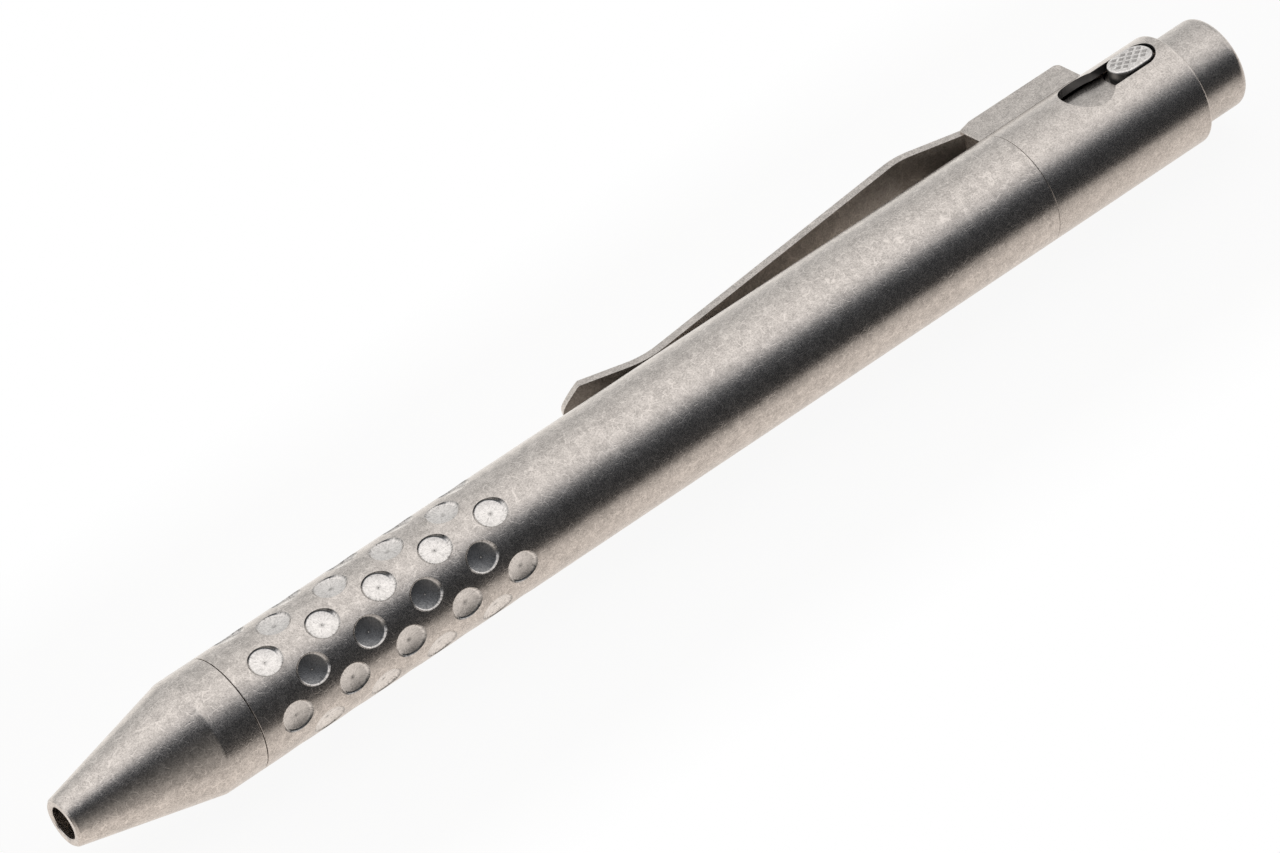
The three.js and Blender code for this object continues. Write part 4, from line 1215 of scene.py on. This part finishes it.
tree.links.new(glow.outputs["Emission"], blend.inputs[2])
tree.links.new(blend.outputs["Shader"], tree.nodes["Material Output"].inputs["Surface"])
table.data.materials.append(paper)

# Camera: its place in metres, its sensor and lens in millimetres
photoCamera = {
    "place": (-0.30376, -0.45565, 0.53513),
    "right": Vector((0.76504, -0.63473, -0.10877)),
    "up": Vector((0.50659, 0.48890, 0.71017)),
    "sensor": 36,
    "lens": 214.07,
    "clipStart": 0.01,
}
cameraData = bpy.data.cameras.new("camera")
cameraData.sensor_width = photoCamera["sensor"]
cameraData.lens = photoCamera["lens"]
cameraData.clip_start = photoCamera["clipStart"]
camera = bpy.data.objects.new("camera", cameraData)
bpy.context.collection.objects.link(camera)
cameraBack = photoCamera["right"].cross(photoCamera["up"])
cameraAxes = Matrix((photoCamera["right"], photoCamera["up"], cameraBack)).transposed()
camera.matrix_world = Matrix.Translation(photoCamera["place"]) @ cameraAxes.to_4x4()
bpy.context.scene.camera = camera

# The room: bright paper all round, with one dark gap on the camera's side between the table and the lamps
world = bpy.data.worlds.new("studio")
bpy.context.scene.world = world
world.use_nodes = True
tree = world.node_tree
direction = tree.nodes.new("ShaderNodeTexCoord").outputs["Generated"]


def partAlong(way):
    return nodeOn(tree, "VectorMath", {0: direction, 1: way}, operation="DOT_PRODUCT").outputs["Value"]


room = {
    "fromUpright": math.radians(40.706),
    "slant": 36,
    "level": 0.4,
    "slantFrom": -0.4,
    "slantTo": 0.7,
    "gapOpens": (0.08, 0.32),
}
# brightness round the pen, in degrees from the camera's side: (turn, red, green, blue)
roomLight = (
    (-180, 1.22, 1.21, 1.2),
    (-140, 1.0, 0.96, 0.93),
    (-100, 0.88, 0.84, 0.8),
    (-82, 0.52, 0.49, 0.465),
    (-70, 0.18, 0.168, 0.16),
    (-62, 0.055, 0.052, 0.052),
    (-52, 0.033, 0.035, 0.038),
    (-22, 0.036, 0.04, 0.046),
    (-6, 0.08, 0.09, 0.105),
    (5, 0.33, 0.35, 0.38),
    (17, 0.91, 0.91, 0.93),
    (38, 1.16, 1.16, 1.17),
    (65, 1.02, 1.02, 1.03),
    (95, 0.77, 0.78, 0.79),
    (120, 0.68, 0.69, 0.7),
    (150, 1.03, 1.04, 1.05),
    (180, 1.22, 1.21, 1.2),
)
# towards the tip the gap opens slowly on the table's side
tipGap = (
    (-104, 0.86, 0.82, 0.79),
    (-84, 0.62, 0.59, 0.57),
    (-64, 0.31, 0.3, 0.29),
    (-44, 0.13, 0.13, 0.13),
    (-24, 0.06, 0.062, 0.066),
)
tipLight = (
    [stop for stop in roomLight if stop[0] < tipGap[0][0]]
    + list(tipGap)
    + [stop for stop in roomLight if stop[0] > tipGap[-1][0]]
)
outward = partAlong((0, -math.sin(room["fromUpright"]), math.cos(room["fromUpright"])))
across = partAlong((0, math.cos(room["fromUpright"]), math.sin(room["fromUpright"])))
endward = partAlong((1, 0, 0))
angle = sumOn(tree, "MULTIPLY", sumOn(tree, "ARCTAN2", across, outward), 180 / math.pi)
held = sumOn(tree, "MINIMUM", sumOn(tree, "MAXIMUM", endward, room["slantFrom"]), room["slantTo"])
slanted = sumOn(tree, "MULTIPLY_ADD", sumOn(tree, "SUBTRACT", held, room["level"]), room["slant"], angle)
around = sumOn(tree, "DIVIDE", sumOn(tree, "ADD", slanted, 180), 360)
tipShare = rangeOn(tree, endward, *room["gapOpens"], 1.0, 0.0)
light = mixOn(tree, tipShare, rampOn(tree, around, roomLight), rampOn(tree, around, tipLight))
cameraRay = tree.nodes.new("ShaderNodeLightPath").outputs["Is Camera Ray"]
tree.links.new(mixOn(tree, cameraRay, light, white), tree.nodes["Background"].inputs["Color"])
bpy.context.scene.view_settings.view_transform = "Standard"
print("studio ready")
